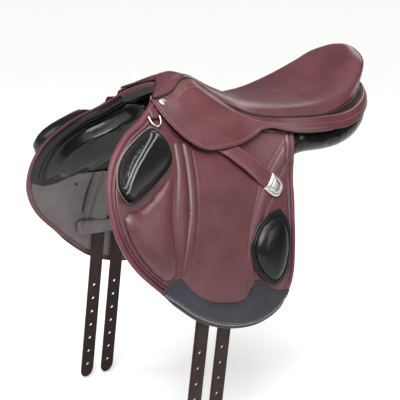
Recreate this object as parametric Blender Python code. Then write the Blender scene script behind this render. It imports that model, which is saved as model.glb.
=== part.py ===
"""English jumping saddle: one long forward flap a side, external knee and calf blocks, four long girth straps.

+X is the horse's left (near) side, -Y is the front (pommel), +Z is up. The origin lies in the gullet channel,
between the two panels, level with the horse's back. Every length below is in millimetres and scaled by MM.
"""
import math

import bmesh
import bpy
from mathutils import Matrix, Vector

MM = 0.001

# Side surface of the saddle: the outer face of a flap, as a width at each height.
SIDE_BOTTOM = -230.0
SIDE_HEIGHT = 335.0
SIDE_WIDTH = 190.0
SIDE_DROP = 142.0
SIDE_CURVE = 2.2
REAR_FLARE = 34.0

# Layers, measured outward from the side surface.
FLAP = (-5.0, 0.0)
LINING = (-8.7, -5.7)
WEB = (-8.7, -5.7)
STRAP = (-13.0, -9.4)
GUIDE = (-16.8, -13.8)
SKIRT = (11.0, 15.0)
SKIRT_PUFF = 5.0
PANEL_BACK = -10.0

# Hinge lines.
FLAP_FOLD_Z = -54.5
FLAP_FOLD_GAP = 1.6
SKIRT_FOLD = ((-192.0, 98.0), (-30.0, 60.0))
SKIRT_FOLD_GAP = 2.6

# Girth straps.
STRAP_WIDTH = 25.0
STRAP_THICK = 3.6
STRAP_LEAN = math.radians(7.0)
STRAP_HINGE_Z = -168.0
STRAP_FIRST_HOLE = 97.0
HOLE_PITCH = 25.4
HOLE_COUNT = 7
HOLE_RADIUS = 2.6
STRAP_END = 24.0
STRAP_HINGE_Y = {"front": -173.0, "rear": -132.0}

SIDES = {"left": 1, "right": -1}
PAD_RINGS = (1.0, 0.94, 0.8, 0.55, 0.25)
PAD_BASE = 1.2


# ---------------------------------------------------------------- helpers

def smooth(a):
    """Smoothstep from 0 to 1."""
    a = min(max(a, 0.0), 1.0)
    return a * a * (3.0 - 2.0 * a)


def side_x(y, z, out=0.0):
    """Distance from the middle plane to the side surface at (y, z), plus an outward offset."""
    t = max((z - SIDE_BOTTOM) / SIDE_HEIGHT, 0.0)
    flare = REAR_FLARE * smooth((y + 60.0) / 150.0) * smooth((z + 40.0) / 80.0)
    return SIDE_WIDTH - SIDE_DROP * t ** SIDE_CURVE + flare + out


def catmull(points, t):
    """Point at t in 0..1 on a Catmull-Rom curve through the points."""
    spans = len(points) - 1
    i = min(int(t * spans), spans - 1)
    f = t * spans - i
    a = points[max(i - 1, 0)]
    b = points[i]
    c = points[i + 1]
    d = points[min(i + 2, spans)]
    return 0.5 * (2 * b + (c - a) * f + (2 * a - 5 * b + 4 * c - d) * f * f
                  + (3 * b - a - 3 * c + d) * f ** 3)


def closed_curve(points, count):
    """Evenly stepped closed Catmull-Rom curve through 2D points."""
    ring = [Vector(p) for p in points]
    ring = [ring[-1]] + ring + ring[:2]
    spans = len(ring) - 3
    out = []
    for k in range(count):
        t = k * spans / count
        i = int(t)
        f = t - i
        a, b, c, d = ring[i:i + 4]
        out.append(0.5 * (2 * b + (c - a) * f + (2 * a - 5 * b + 4 * c - d) * f * f
                          + (3 * b - a - 3 * c + d) * f ** 3))
    return out


def material(name, color, rough, metal=0.0):
    """Principled material, made once."""
    mat = bpy.data.materials.get(name)
    if mat is None:
        mat = bpy.data.materials.new(name)
        mat.use_nodes = True
        shader = mat.node_tree.nodes["Principled BSDF"]
        shader.inputs["Base Color"].default_value = (*color, 1.0)
        shader.inputs["Roughness"].default_value = rough
        shader.inputs["Metallic"].default_value = metal
    return mat


def burgundy():
    return material("burgundy_leather", (0.13, 0.045, 0.05), 0.45)


def black():
    return material("black_leather", (0.012, 0.012, 0.014), 0.3)


def brown():
    return material("dark_strap_leather", (0.035, 0.014, 0.012), 0.5)


def slate():
    return material("slate_leather", (0.04, 0.038, 0.05), 0.5)


def grey():
    return material("grey_lining", (0.13, 0.115, 0.115), 0.7)


def foam():
    return material("seat_foam", (0.5, 0.45, 0.35), 0.9)


def tree_wood():
    return material("tree_laminate", (0.35, 0.22, 0.12), 0.6)


def webbing():
    return material("girth_webbing", (0.45, 0.42, 0.36), 0.9)


def steel():
    return material("polished_steel", (0.6, 0.6, 0.62), 0.2, 1.0)


def finish(name, bm, mat, origin=(0.0, 0.0, 0.0)):
    """Turn a bmesh in millimetres into a named object whose origin is at a point in millimetres."""
    bmesh.ops.remove_doubles(bm, verts=bm.verts, dist=0.01)
    bmesh.ops.recalc_face_normals(bm, faces=bm.faces)
    bmesh.ops.transform(bm, matrix=Matrix.Scale(MM, 4) @ Matrix.Translation(-Vector(origin)), verts=bm.verts)
    mesh = bpy.data.meshes.new(name)
    bm.to_mesh(mesh)
    bm.free()
    mesh.materials.append(mat)
    mesh.shade_smooth()
    mesh.set_sharp_from_angle(angle=math.radians(40))
    obj = bpy.data.objects.new(name, mesh)
    obj.location = Vector(origin) * MM
    bpy.context.scene.collection.objects.link(obj)
    return obj


def loft(name, rings, mat, origin=(0.0, 0.0, 0.0)):
    """Closed solid through rings of equal length, with flat caps."""
    bm = bmesh.new()
    rows = [[bm.verts.new(p) for p in ring] for ring in rings]
    count = len(rows[0])
    for low, high in zip(rows, rows[1:]):
        for k in range(count):
            n = (k + 1) % count
            bm.faces.new((low[k], low[n], high[n], high[k]))
    bm.faces.new(rows[0])
    bm.faces.new(rows[-1])
    return finish(name, bm, mat, origin)


def sheet_mesh(outline, step_y, step_z):
    """Flat bmesh of an outline in (y, z), cut into rows and columns."""
    bm = bmesh.new()
    bm.faces.new([bm.verts.new((0.0, p[0], p[1])) for p in outline])
    for axis, step in ((1, step_y), (2, step_z)):
        low = min(v.co[axis] for v in bm.verts)
        high = max(v.co[axis] for v in bm.verts)
        cuts = int((high - low) / step)
        normal = Vector((0.0, 0.0, 0.0))
        normal[axis] = 1.0
        for k in range(1, cuts + 1):
            place = Vector((0.0, 0.0, 0.0))
            place[axis] = low + (high - low) * k / (cuts + 1)
            geom = bm.verts[:] + bm.edges[:] + bm.faces[:]
            bmesh.ops.bisect_plane(bm, geom=geom, dist=0.001, plane_co=place, plane_no=normal)
    return bm


def cover_both_sides(bm, sign, inner, outer, lift=None):
    """Give a flat (y, z) mesh thickness between two offsets, both raised by lift(y, z) if there is one."""
    front = list(bm.verts)
    rim = [e for e in bm.edges if e.is_boundary]
    faces = list(bm.faces)
    twin = {v: bm.verts.new(v.co) for v in front}
    for f in faces:
        bm.faces.new([twin[v] for v in reversed(f.verts)])
    for e in rim:
        a, b = e.verts
        bm.faces.new((a, b, twin[b], twin[a]))
    for v, w in twin.items():
        y, z = v.co.y, v.co.z
        rise = lift(y, z) if lift else 0.0
        v.co.x = sign * side_x(y, z, outer + rise)
        w.co.x = sign * side_x(y, z, inner + rise)
    return bm


def sheet(name, outline, layer, sign, mat, origin=(0.0, 0.0, 0.0), step=(45.0, 30.0), lift=None):
    """Leather sheet that follows the side surface between two offsets."""
    bm = sheet_mesh(outline, *step)
    cover_both_sides(bm, sign, layer[0], layer[1], lift)
    return finish(name, bm, mat, origin)


def pad(name, outline, base, height, sign, mat, origin=(0.0, 0.0, 0.0), edge=2.0, share=None):
    """Cushion on the side surface: concentric rings of its outline, domed on the outer face.

    share gives the part of the height that is left at a point, for a wedge."""
    centre = sum((Vector(p) for p in outline), Vector((0.0, 0.0))) / len(outline)
    bm = bmesh.new()
    rows = []
    for scale in PAD_RINGS:
        rise = edge + height * (1.0 - scale ** 3) ** 0.5
        row = []
        for p in outline:
            y, z = centre + (Vector(p) - centre) * scale
            here = rise * share(y, z) if share else rise
            low = bm.verts.new((sign * side_x(y, z, base), y, z))
            top = bm.verts.new((sign * side_x(y, z, base + here), y, z))
            row.append((low, top))
        rows.append(row)
    count = len(outline)
    for k in range(count):
        n = (k + 1) % count
        for outer, inner in zip(rows, rows[1:]):
            bm.faces.new((outer[k][1], outer[n][1], inner[n][1], inner[k][1]))
            bm.faces.new((outer[k][0], inner[k][0], inner[n][0], outer[n][0]))
        bm.faces.new((rows[0][k][0], rows[0][n][0], rows[0][n][1], rows[0][k][1]))
    bm.faces.new([pair[1] for pair in rows[-1]])
    bm.faces.new([pair[0] for pair in reversed(rows[-1])])
    return finish(name, bm, mat, origin)


def clip(outline, value, keep_above):
    """Part of a (y, z) outline above or below a height."""
    out = []
    for a, b in zip(outline, outline[1:] + outline[:1]):
        inside_a = (a[1] >= value) == keep_above
        inside_b = (b[1] >= value) == keep_above
        if inside_a:
            out.append(a)
        if inside_a != inside_b:
            f = (value - a[1]) / (b[1] - a[1])
            out.append((a[0] + (b[0] - a[0]) * f, value))
    return out


def bar(name, points, width, thick, normal, mat, origin=(0.0, 0.0, 0.0)):
    """Flat strap or bar through points: width across, thickness along the given normal."""
    rings = []
    pts = [Vector(p) for p in points]
    for k, p in enumerate(pts):
        run = (pts[min(k + 1, len(pts) - 1)] - pts[max(k - 1, 0)]).normalized()
        n = Vector(normal) if not isinstance(normal, list) else Vector(normal[k])
        n = (n - run * n.dot(run)).normalized()
        across = run.cross(n) * (width / 2)
        up = n * (thick / 2)
        rings.append([p - across - up, p + across - up, p + across + up, p - across + up])
    return loft(name, rings, mat, origin)


# ---------------------------------------------------------------- seat

# Sections from the spine to the welt, pommel to cantle: spine, middle, top, side, welt.
SEAT = [
    [(0, -108, 134), (0, -116, 136), (0, -127, 137), (0, -143, 136), (0, -152, 130)],
    [(0, -107, 134), (8, -116, 135), (16, -129, 134), (23, -148, 130), (29, -168, 121)],
    [(0, -106, 133.5), (13, -118, 134), (26, -136, 130), (38, -160, 122), (51, -186, 111)],
    [(0, -105, 133), (14, -114, 133), (28, -127, 130), (40, -142, 123), (48, -156, 114)],
    [(0, -103, 132.5), (9, -108, 133.5), (18, -114, 134.5), (27, -121, 134), (34, -127, 130)],
    [(0, -97, 130.5), (9, -100, 131.5), (17, -104, 133), (25, -107, 133), (32, -109, 130)],
    [(0, -88, 126), (13, -91, 127), (25, -93, 126), (36, -95, 124), (44, -96, 118)],
    [(0, -65, 114), (17, -68, 114), (34, -71, 112), (51, -74, 107), (63, -75, 98)],
    [(0, -38, 102), (22, -42, 102), (43, -46, 100), (63, -50, 94), (78, -52, 85)],
    [(0, -8, 91), (26, -12, 90), (52, -17, 89), (75, -22, 83), (91, -25, 74)],
    [(0, 35, 84), (34, 34, 85), (66, 32, 84), (94, 30, 79), (110, 29, 68)],
    [(0, 80, 85), (42, 84, 86), (80, 88, 86), (110, 92, 82), (124, 95, 68)],
    [(0, 112, 89), (42, 125, 93), (80, 138, 101), (106, 145, 98), (118, 139, 79)],
    [(0, 125, 93), (36, 150, 104), (66, 178, 124), (90, 190, 120), (100, 175, 88)],
    [(0, 131, 95), (28, 160, 108), (50, 198, 142), (70, 218, 137), (76, 204, 98)],
    [(0, 135, 97), (14, 167, 112), (26, 218, 156), (36, 243, 141), (38, 228, 103)],
    [(0, 137, 98), (0, 170, 113), (0, 226, 160), (0, 252, 142), (0, 236, 105)],
]
SEAT_STEPS = (24, 10)
COVER_THICK = 2.6
FOAM_GAP = 2.8
BED_INSET = 13.0
BED_EDGE = 4.0
FOAM_DEPTH = 15.0
TREE_GAP = 1.6
TREE_THICK = 8.0


def seat_point(u, v):
    """Point of the seat surface: u from pommel to cantle, v from -1 (right welt) to 1 (left welt)."""
    rows = [catmull([Vector(p) for p in row], abs(v)) for row in SEAT]
    p = catmull(rows, u)
    if v < 0.0:
        p.x = -p.x
    return p


def seat_normal(u, v):
    """Outward unit normal of the seat surface, level across the middle plane."""
    step = 0.01
    mid = min(max(u, step), 1.0 - step)
    w = min(max(abs(v), step), 1.0 - step)
    along = seat_point(mid + step, w) - seat_point(mid - step, w)
    across = seat_point(mid, w + step) - seat_point(mid, w - step)
    n = across.cross(along)
    if u in (0.0, 1.0) or v == 0.0:
        n.x = 0.0
    n.normalize()
    if v < 0.0:
        n.x = -n.x
    return n


def under_seat(u, v, depth):
    """Point below the seat surface, kept on its own side of the middle plane."""
    p = seat_point(u, v)
    q = p - seat_normal(u, v) * depth
    side = 1.0 if v >= 0.0 else -1.0
    q.x = side * max(q.x * side, abs(p.x) * 0.5)
    return q


def grid_solid(name, top, bottom, mat):
    """Solid between two grids whose first and last rows close on the middle plane."""
    bm = bmesh.new()
    upper = [[bm.verts.new(p) for p in row] for row in top]
    lower = [[bm.verts.new(p) for p in row] for row in bottom]
    rows = len(upper)
    cols = len(upper[0])
    for i in range(rows - 1):
        for j in range(cols - 1):
            bm.faces.new((upper[i][j], upper[i][j + 1], upper[i + 1][j + 1], upper[i + 1][j]))
            bm.faces.new((lower[i][j], lower[i + 1][j], lower[i + 1][j + 1], lower[i][j + 1]))
        for j in (0, cols - 1):
            bm.faces.new((upper[i][j], upper[i + 1][j], lower[i + 1][j], lower[i][j]))
    bmesh.ops.remove_doubles(bm, verts=bm.verts, dist=0.05)
    bmesh.ops.dissolve_degenerate(bm, edges=bm.edges, dist=0.02)
    return finish(name, bm, mat)


def seat_grid(rows, cols, place):
    """Grid of place(u, v) over the seat."""
    return [[place(i / rows, 2.0 * j / cols - 1.0) for j in range(cols + 1)] for i in range(rows + 1)]


def foam_depth(u):
    """Depth of the foam on the spine, thin over the pommel."""
    return 5.0 + FOAM_DEPTH * smooth(u * 3.0)


def bed_point(u, v, inset, drop, edge_drop):
    """Surface under the seat foam: flat across, from the spine to just inside the welt."""
    spine = seat_point(u, 0.0)
    edge = seat_point(u, 1.0)
    reach = edge - spine
    reach.z = 0.0
    length = max(reach.length, 1.0)
    share = max(length - inset, 0.0) / length
    w = abs(v)
    p = spine + reach * (w * share)
    p.z = (spine.z - drop) * (1.0 - w) + (edge.z - edge_drop) * w
    if v < 0.0:
        p.x = -p.x
    return p


def seat_cover():
    def inner(u, v):
        return under_seat(u, v, COVER_THICK)
    return grid_solid("seat_cover", seat_grid(*SEAT_STEPS, seat_point), seat_grid(*SEAT_STEPS, inner), burgundy())


def seat_foam():
    def top(u, v):
        w = max(min(v, 0.9), -0.9)
        return under_seat(u, w, COVER_THICK + FOAM_GAP)

    def bed(u, v):
        return bed_point(u, v, BED_INSET, foam_depth(u) + BED_EDGE, BED_EDGE)
    return grid_solid("seat_foam", seat_grid(*SEAT_STEPS, top), seat_grid(*SEAT_STEPS, bed), foam())


def tree():
    def layer(u, v, down):
        return bed_point(u, v, BED_INSET, foam_depth(u) + BED_EDGE + down, BED_EDGE + down)

    def top(u, v):
        return layer(u, v, TREE_GAP)

    def bottom(u, v):
        return layer(u, v, TREE_GAP + TREE_THICK)
    return grid_solid("tree", seat_grid(*SEAT_STEPS, top), seat_grid(*SEAT_STEPS, bottom), tree_wood())


# ---------------------------------------------------------------- flaps

FLAP_OUTLINE = [(-190, 102), (-221, 81), (-255, 64), (-289, 35), (-308, 2), (-315, -35), (-311, -73),
                (-292, -112), (-257, -150), (-202, -199), (-166, -219), (-130, -230), (-92, -233),
                (-58, -224), (-33, -204), (-17, -170), (-8, -125), (0, -80), (6, -56), (16, -10), (28, 40),
                (0, 48), (-29, 58), (-58, 70), (-84, 84), (-104, 94), (-150, 100)]
LINING_INSET = 12.0


def inset_outline(outline, distance):
    """Outline moved towards its own centre by about a distance."""
    centre = sum((Vector(p) for p in outline), Vector((0.0, 0.0))) / len(outline)
    out = []
    for p in outline:
        d = Vector(p) - centre
        out.append(tuple(centre + d * (1.0 - distance / d.length)))
    return out


def fold_origin(sign):
    """Point on the line about which the lower flap bends."""
    return (sign * side_x(-150.0, FLAP_FOLD_Z, 0.5), -150.0, FLAP_FOLD_Z)


def flaps(label, sign):
    upper = clip(FLAP_OUTLINE, FLAP_FOLD_Z + FLAP_FOLD_GAP, True)
    lower = clip(FLAP_OUTLINE, FLAP_FOLD_Z - FLAP_FOLD_GAP, False)
    lining = clip(inset_outline(FLAP_OUTLINE, LINING_INSET), FLAP_FOLD_Z - 3.5, False)
    sheet("flap_upper_" + label, upper, FLAP, sign, burgundy())
    sheet("flap_lower_" + label, lower, FLAP, sign, burgundy(), fold_origin(sign))
    sheet("flap_lining_" + label, lining, LINING, sign, grey(), fold_origin(sign))


KNEE_BLOCK = [(-213, 70), (-250, 54), (-276, 36), (-290, 16), (-293, -6), (-279, -25), (-250, -14),
              (-221, 2), (-200, 16), (-190, 30), (-190, 50), (-198, 64)]
KNEE_BLOCK_HEIGHT = 33.0
KNEE_CREST = ((-213.0, 66.0), (-284.0, 8.0))
KNEE_SLOPE = 47.0
KNEE_SLOPE_DROP = 0.55
KNEE_PAD_HEIGHT = 8.0
CALF_BLOCK_HEIGHT = 17.0
KNEE_PAD = [(-293, -60), (-250, -58), (-208, -60), (-206, -90), (-212, -118), (-222, -140), (-250, -136),
            (-276, -110), (-292, -84)]
CALF_BLOCK = [(-27, -64), (-52, -70), (-78, -86), (-94, -112), (-92, -138), (-78, -162), (-56, -177),
              (-36, -166), (-24, -142), (-17, -112), (-17, -84)]
PATCH = [(-248, -154), (-230, -141), (-218, -140), (-206, -156), (-192, -168), (-174, -178), (-150, -188),
         (-125, -191), (-104, -188), (-90, -184), (-74, -182), (-55, -185), (-38, -190), (-31, -193),
         (-36, -203), (-60, -221), (-92, -229), (-130, -226), (-166, -215), (-201, -195)]


def knee_share(y, z):
    """Part of the knee block's height left behind its front crest."""
    start = Vector(KNEE_CREST[0])
    run = (Vector(KNEE_CREST[1]) - start).normalized()
    behind = (Vector((y, z)) - start).dot(Vector((-run.y, run.x)))
    return 1.0 - KNEE_SLOPE_DROP * min(max(behind / KNEE_SLOPE, 0.0), 1.0)


def flap_padding(label, sign):
    hinge = fold_origin(sign)
    pad("knee_block_" + label, closed_curve(KNEE_BLOCK, 24), PAD_BASE, KNEE_BLOCK_HEIGHT, sign, black(),
        share=knee_share)
    pad("knee_pad_" + label, closed_curve(KNEE_PAD, 18), PAD_BASE, KNEE_PAD_HEIGHT, sign, burgundy(), hinge)
    pad("calf_block_" + label, closed_curve(CALF_BLOCK, 24), PAD_BASE, CALF_BLOCK_HEIGHT, sign, black(), hinge)
    sheet("flap_patch_" + label, PATCH, (1.0, 3.0), sign, slate(), hinge, step=(45.0, 40.0))


KEEPER_PATH = [(-104, 44, 3.8), (-98, 34, 4.6), (-90, 28, 8.5), (-78, 17, 10.0), (-66, 6, 10.0), (-54, -6, 8.5),
               (-50, -10, 5.2), (-45.5, -14.5, 4.4)]
TIP_OUTLINE = [(-26, -12), (-16, -20), (-12, -32), (-24, -45), (-36, -44), (-49, -32), (-39, -27), (-32, -20)]
TIP = (2.0, 5.0)
KEEPER_WIDTH = 26.0
KEEPER_THICK = 3.0


def keeper(label, sign):
    """Strap that holds the stirrup leather down, and its metal tip."""
    points = []
    normals = []
    for y, z, out in KEEPER_PATH:
        points.append((sign * side_x(y, z, out), y, z))
        slope = side_x(y, z + 1.0) - side_x(y, z - 1.0)
        normals.append((sign * 1.0, 0.0, -slope / 2.0))
    bar("keeper_strap_" + label, points, KEEPER_WIDTH, KEEPER_THICK, normals, burgundy())
    tip = TIP_OUTLINE
    sheet("keeper_tip_" + label, tip, TIP, sign, steel(), step=(16.0, 14.0))


# ---------------------------------------------------------------- skirts

SKIRT_TOP = [(-188, 110), (-172, 112), (-154, 113), (-140, 121), (-127, 128.5), (-118, 129.5), (-108, 128.5),
             (-99, 118), (-84, 105), (-70, 94), (-56, 84), (-40, 77), (-25, 72), (0, 67.5), (29, 65.5),
             (62, 65), (95, 65.5)]
SKIRT_EDGE = [(62, 44.5), (38, 45), (14, 48), (-6, 53), (-18, 53), (-27, 51), (-42, 44), (-70, 36), (-100, 33),
              (-125, 33), (-142, 37), (-160, 48), (-176, 66), (-186, 86), (-192, 106)]


def skirt_puff(y, z):
    """How far the skirt stands out over the stirrup bar."""
    return SKIRT_PUFF * smooth(1.0 - abs(z - 60.0) / 20.0) * smooth(1.0 - abs(y + 112.0) / 62.0)


def skirt_line(y):
    """Height of the skirt's fold line."""
    (y0, z0), (y1, z1) = SKIRT_FOLD
    return z0 + (z1 - z0) * (y - y0) / (y1 - y0)


def fold_clip(outline, offset, keep_above):
    """Part of a (y, z) outline on one side of the skirt's fold line."""
    level = [(y, z - skirt_line(y) - offset) for y, z in outline]
    return [(y, z + skirt_line(y) + offset) for y, z in clip(level, 0.0, keep_above)]


def skirt_origin(sign):
    """Point on the skirt's fold line, on its outer face."""
    y = sum(p[0] for p in SKIRT_FOLD) / 2.0
    z = skirt_line(y)
    return (sign * side_x(y, z, SKIRT[1] + 0.5), y, z)


def skirts(label, sign):
    outline = SKIRT_TOP + [(95, 45.5)] + SKIRT_EDGE
    band = fold_clip(outline, SKIRT_FOLD_GAP, True)
    lobe = fold_clip([p for p in outline if p[0] < 0.0], -SKIRT_FOLD_GAP, False)
    sheet("skirt_band_" + label, band, SKIRT, sign, burgundy(), step=(30.0, 14.0), lift=skirt_puff)
    sheet("skirt_lobe_" + label, lobe, SKIRT, sign, burgundy(), skirt_origin(sign), step=(24.0, 16.0),
          lift=skirt_puff)


def cantle_band():
    """Band of leather round the back of the seat, under the welt."""
    rings = []
    for k in range(-9, 10):
        a = math.radians(90.0 - abs(k) * 10.1)
        wave = abs(k) / 9.0
        x = 126.0 * math.cos(a) * (1 if k >= 0 else -1)
        y = 100.0 + 139.0 * math.sin(a)
        top = 104.0 - 36.0 * smooth(wave * 1.05)
        low = top - 18.0
        out = Vector((math.cos(a) * (1 if k >= 0 else -1) / 126.0, math.sin(a) / 139.0, 0.0)).normalized()
        p = Vector((x, y, 0.0))
        lift = Vector((0.0, 0.0, 1.0))
        rings.append([p + out * 8.0 + lift * low, p + out * 11.5 + lift * low,
                      p + out * 6.0 + lift * top, p + out * 2.5 + lift * top])
    return loft("cantle_band", rings, burgundy())


# ---------------------------------------------------------------- panels

# Panel sections: y, top height, lowest height, thickness, and the gullet's (x, height) where there is one.
PANEL_FRONT = [
    (-298.0, 2.0, -46.0, 7.0),
    (-280.0, 32.0, -55.0, 15.0),
    (-250.0, 54.0, -56.0, 21.0),
    (-215.0, 74.0, -50.0, 24.0),
    (-185.0, 90.0, -42.0, 26.0),
]
PANEL_MIDDLE = [
    (-150.0, 86.0, -38.0, 28.0, 30.0, 91.0),
    (-115.0, 82.0, -35.0, 30.0, 30.0, 88.0),
    (-80.0, 70.0, -28.0, 32.0, 30.0, 80.0),
    (-40.0, 52.0, -18.0, 33.0, 31.0, 64.0),
    (0.0, 42.0, -8.0, 34.0, 32.0, 54.0),
    (28.0, 40.0, 0.0, 35.0, 33.0, 50.0),
]
# Behind the flap: y, widest x, top height, lowest height, thickness, gullet x and height.
PANEL_REAR = [
    (50.0, 130.0, 46.0, 4.0, 35.0, 34.0, 49.0),
    (95.0, 130.0, 47.0, 5.0, 34.0, 35.0, 50.0),
    (135.0, 125.0, 53.0, 8.0, 32.0, 36.0, 54.0),
    (170.0, 114.0, 62.0, 15.0, 30.0, 36.0, 60.0),
    (200.0, 98.0, 70.0, 26.0, 27.0, 35.0, 66.0),
    (225.0, 78.0, 74.0, 40.0, 20.0, 34.0, 70.0),
    (243.0, 58.0, 74.0, 56.0, 10.0, 34.0, 71.0),
]


def panel_ring(outer, inner_top, inner_low, swell):
    """Closed section: outer points from the top down, then a swollen bearing face back up."""
    a = Vector(inner_low)
    b = Vector(inner_top)
    away = Vector((b - a).yx)
    away = Vector((-abs(away.x), -abs(away.y))).normalized()
    ring = [Vector(p) for p in outer]
    for k in range(5):
        t = k / 4.0
        ring.append(a.lerp(b, t) + away * swell * math.sin(math.pi * t))
    return ring


def side_points(y, top, low, back):
    """Four section points down the side surface."""
    heights = [top + (low - top) * k / 3.0 for k in range(4)]
    return [(side_x(y, z, back), z) for z in heights]


def panel(label, sign):
    """Flocked cushion from the shoulder to the cantle."""
    rings = []
    for y, top, low, thick in PANEL_FRONT:
        outer = side_points(y, top, low, PANEL_BACK)
        outer = [(outer[0][0] - 3.0, top)] + outer
        low_in = (outer[-1][0] - 4.0, low - 1.0)
        top_in = (outer[0][0] - thick * 0.35, top - 2.0)
        rings.append((y, panel_ring(outer, top_in, low_in, thick * 0.7)))
    for y, top, low, thick, gx, gz in PANEL_MIDDLE:
        outer = [(gx, gz)] + side_points(y, top, low, PANEL_BACK)
        low_in = (outer[-1][0] - 4.0, low - 1.0)
        rings.append((y, panel_ring(outer, (gx, gz - thick), low_in, 9.0)))
    for y, wide, top, low, thick, gx, gz in PANEL_REAR:
        deep = top - low
        outer = [(gx, gz), (wide - 18.0, top), (wide - 3.0, top - deep * 0.33), (wide, top - deep * 0.66),
                 (wide - 9.0, low + deep * 0.08)]
        rings.append((y, panel_ring(outer, (gx, gz - thick * 0.8), (wide - 15.0, low), 7.0)))
    solid = [[(sign * p.x, y, p.y) for p in ring] for y, ring in rings]
    loft("panel_" + label, solid, black())


# ---------------------------------------------------------------- girth straps

GUIDE_BAND = [(-212, -138), (-158, -140), (-118, -144), (-118, -163), (-158, -164), (-212, -163)]


def strap_point(sign, y, z):
    """Middle of a girth strap's thickness below its hinge line, where it hangs straight."""
    return (sign * side_x(y, STRAP_HINGE_Z, (STRAP[0] + STRAP[1]) / 2.0), y, z)


def upper_strap(name, hinge_y, sign):
    """Upper end of a girth strap, which lies on the flap's lining."""
    lean = math.tan(STRAP_LEAN)
    heights = (FLAP_FOLD_Z - 4.0, -85.0, -115.0, -140.0, STRAP_HINGE_Z + 4.0)
    half = STRAP_WIDTH / 2.0
    rings = []
    for z in heights:
        y = hinge_y + (z - STRAP_HINGE_Z) * lean * 0.9
        low = sign * side_x(y, z, STRAP[0])
        high = sign * side_x(y, z, STRAP[1])
        rings.append([(low, y - half, z), (low, y + half, z), (high, y + half, z), (high, y - half, z)])
    loft(name, rings, brown(), fold_origin(sign))


def lower_strap(name, hinge_y, sign):
    """Hanging end of a girth strap, with its row of holes and a rounded tip."""
    half = STRAP_WIDTH / 2.0
    last = STRAP_FIRST_HOLE + HOLE_PITCH * (HOLE_COUNT - 1)
    end = last + STRAP_END
    outline = [(-half, 4.0), (half, 4.0), (half, end - 14.0), (half * 0.7, end - 5.0), (0.0, end),
               (-half * 0.7, end - 5.0), (-half, end - 14.0)]
    bm = bmesh.new()
    base = bm.faces.new([bm.verts.new((0.0, p[0], -p[1])) for p in outline])
    grown = bmesh.ops.extrude_face_region(bm, geom=[base])
    moved = [v for v in grown["geom"] if isinstance(v, bmesh.types.BMVert)]
    bmesh.ops.translate(bm, verts=moved, vec=(STRAP_THICK, 0.0, 0.0))
    bmesh.ops.translate(bm, verts=bm.verts, vec=(-STRAP_THICK / 2.0, 0.0, 0.0))
    obj = finish(name, bm, brown())
    x, y, z = strap_point(sign, hinge_y, STRAP_HINGE_Z)
    obj.location = Vector((x, y, z)) * MM
    obj.rotation_euler = (-STRAP_LEAN, 0.0, 0.0)
    cutter_mesh = bmesh.new()
    for k in range(HOLE_COUNT):
        place = Matrix.Translation((0.0, 0.0, -(STRAP_FIRST_HOLE + HOLE_PITCH * k)))
        turn = Matrix.Rotation(math.radians(90.0), 4, "Y")
        bmesh.ops.create_cone(cutter_mesh, cap_ends=True, segments=8, radius1=HOLE_RADIUS, radius2=HOLE_RADIUS,
                              depth=STRAP_THICK * 3.0, matrix=place @ turn)
    cutter = finish(name + "_punch", cutter_mesh, brown())
    cutter.parent = obj
    cutter.hide_render = True
    cutter.display_type = "WIRE"
    punch = obj.modifiers.new("holes", "BOOLEAN")
    punch.operation = "DIFFERENCE"
    punch.object = cutter


def girth_straps(label, sign):
    web = [(-222, 62), (-150, 62), (-96, 58), (-96, -44), (-205, -44), (-222, -20)]
    sheet("girth_web_" + label, web, WEB, sign, webbing(), step=(60.0, 30.0))
    sheet("strap_guide_" + label, GUIDE_BAND, GUIDE, sign, grey(), fold_origin(sign), step=(40.0, 30.0))
    for place, hinge_y in STRAP_HINGE_Y.items():
        upper_strap("strap_top_%s_%s" % (place, label), hinge_y, sign)
        lower_strap("girth_strap_%s_%s" % (place, label), hinge_y, sign)


# ---------------------------------------------------------------- metal fittings

NAIL_AT = (-177.0, 102.0)
NAIL_RADIUS = 5.5
DEE_TOP = (-199.0, 84.0)
DEE_WIDTH = 18.0
DEE_DROP = 17.0
DEE_WIRE = 3.0
DEE_SHOULDER = 3.0
DEE_OFFSET = 5.5
CHAPE_GAP = 0.5
CHAPE_RISE = 12.0
CHAPE_WIDTH = 11.0
CHAPE_THICK = 1.4
DEE_ARC_STEPS = 9
BAR_PATH = [(-166, 76, 3.4), (-153, 70, 4.2), (-140, 65, 7.2), (-128, 61, 10.2), (-98, 58, 10.8), (-86, 58, 8.0)]
BAR_STRAIGHT = 3
BAR_WIDTH = 7.0
BAR_THICK = 4.0
CATCH_LENGTH = 15.0


def surface_frame(sign, y, z, out):
    """Placement on the side surface: X outward, Y rearward, Z up the slope."""
    here = Vector((side_x(y, z, out), y, z))
    along = Vector((side_x(y + 1.0, z) - side_x(y - 1.0, z), 2.0, 0.0)).normalized()
    up = Vector((side_x(y, z + 1.0) - side_x(y, z - 1.0), 0.0, 2.0)).normalized()
    normal = along.cross(up).normalized()
    up = normal.cross(along)
    here.x *= sign
    for axis in (along, up, normal):
        axis.x *= sign
    return here, normal, along, up


def saddle_nail(label, sign):
    """Round nail head that holds the skirt's front corner."""
    here, normal, along, up = surface_frame(sign, NAIL_AT[0], NAIL_AT[1], SKIRT[1] + 0.6)
    rings = []
    for radius, height in ((1.0, 0.0), (1.0, 1.2), (0.8, 2.2), (0.4, 2.8)):
        ring = []
        for k in range(12):
            a = 2.0 * math.pi * k / 12
            ring.append(here + normal * height
                        + (along * math.cos(a) + up * math.sin(a)) * (NAIL_RADIUS * radius))
        rings.append(ring)
    loft("saddle_nail_" + label, rings, steel())


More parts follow.
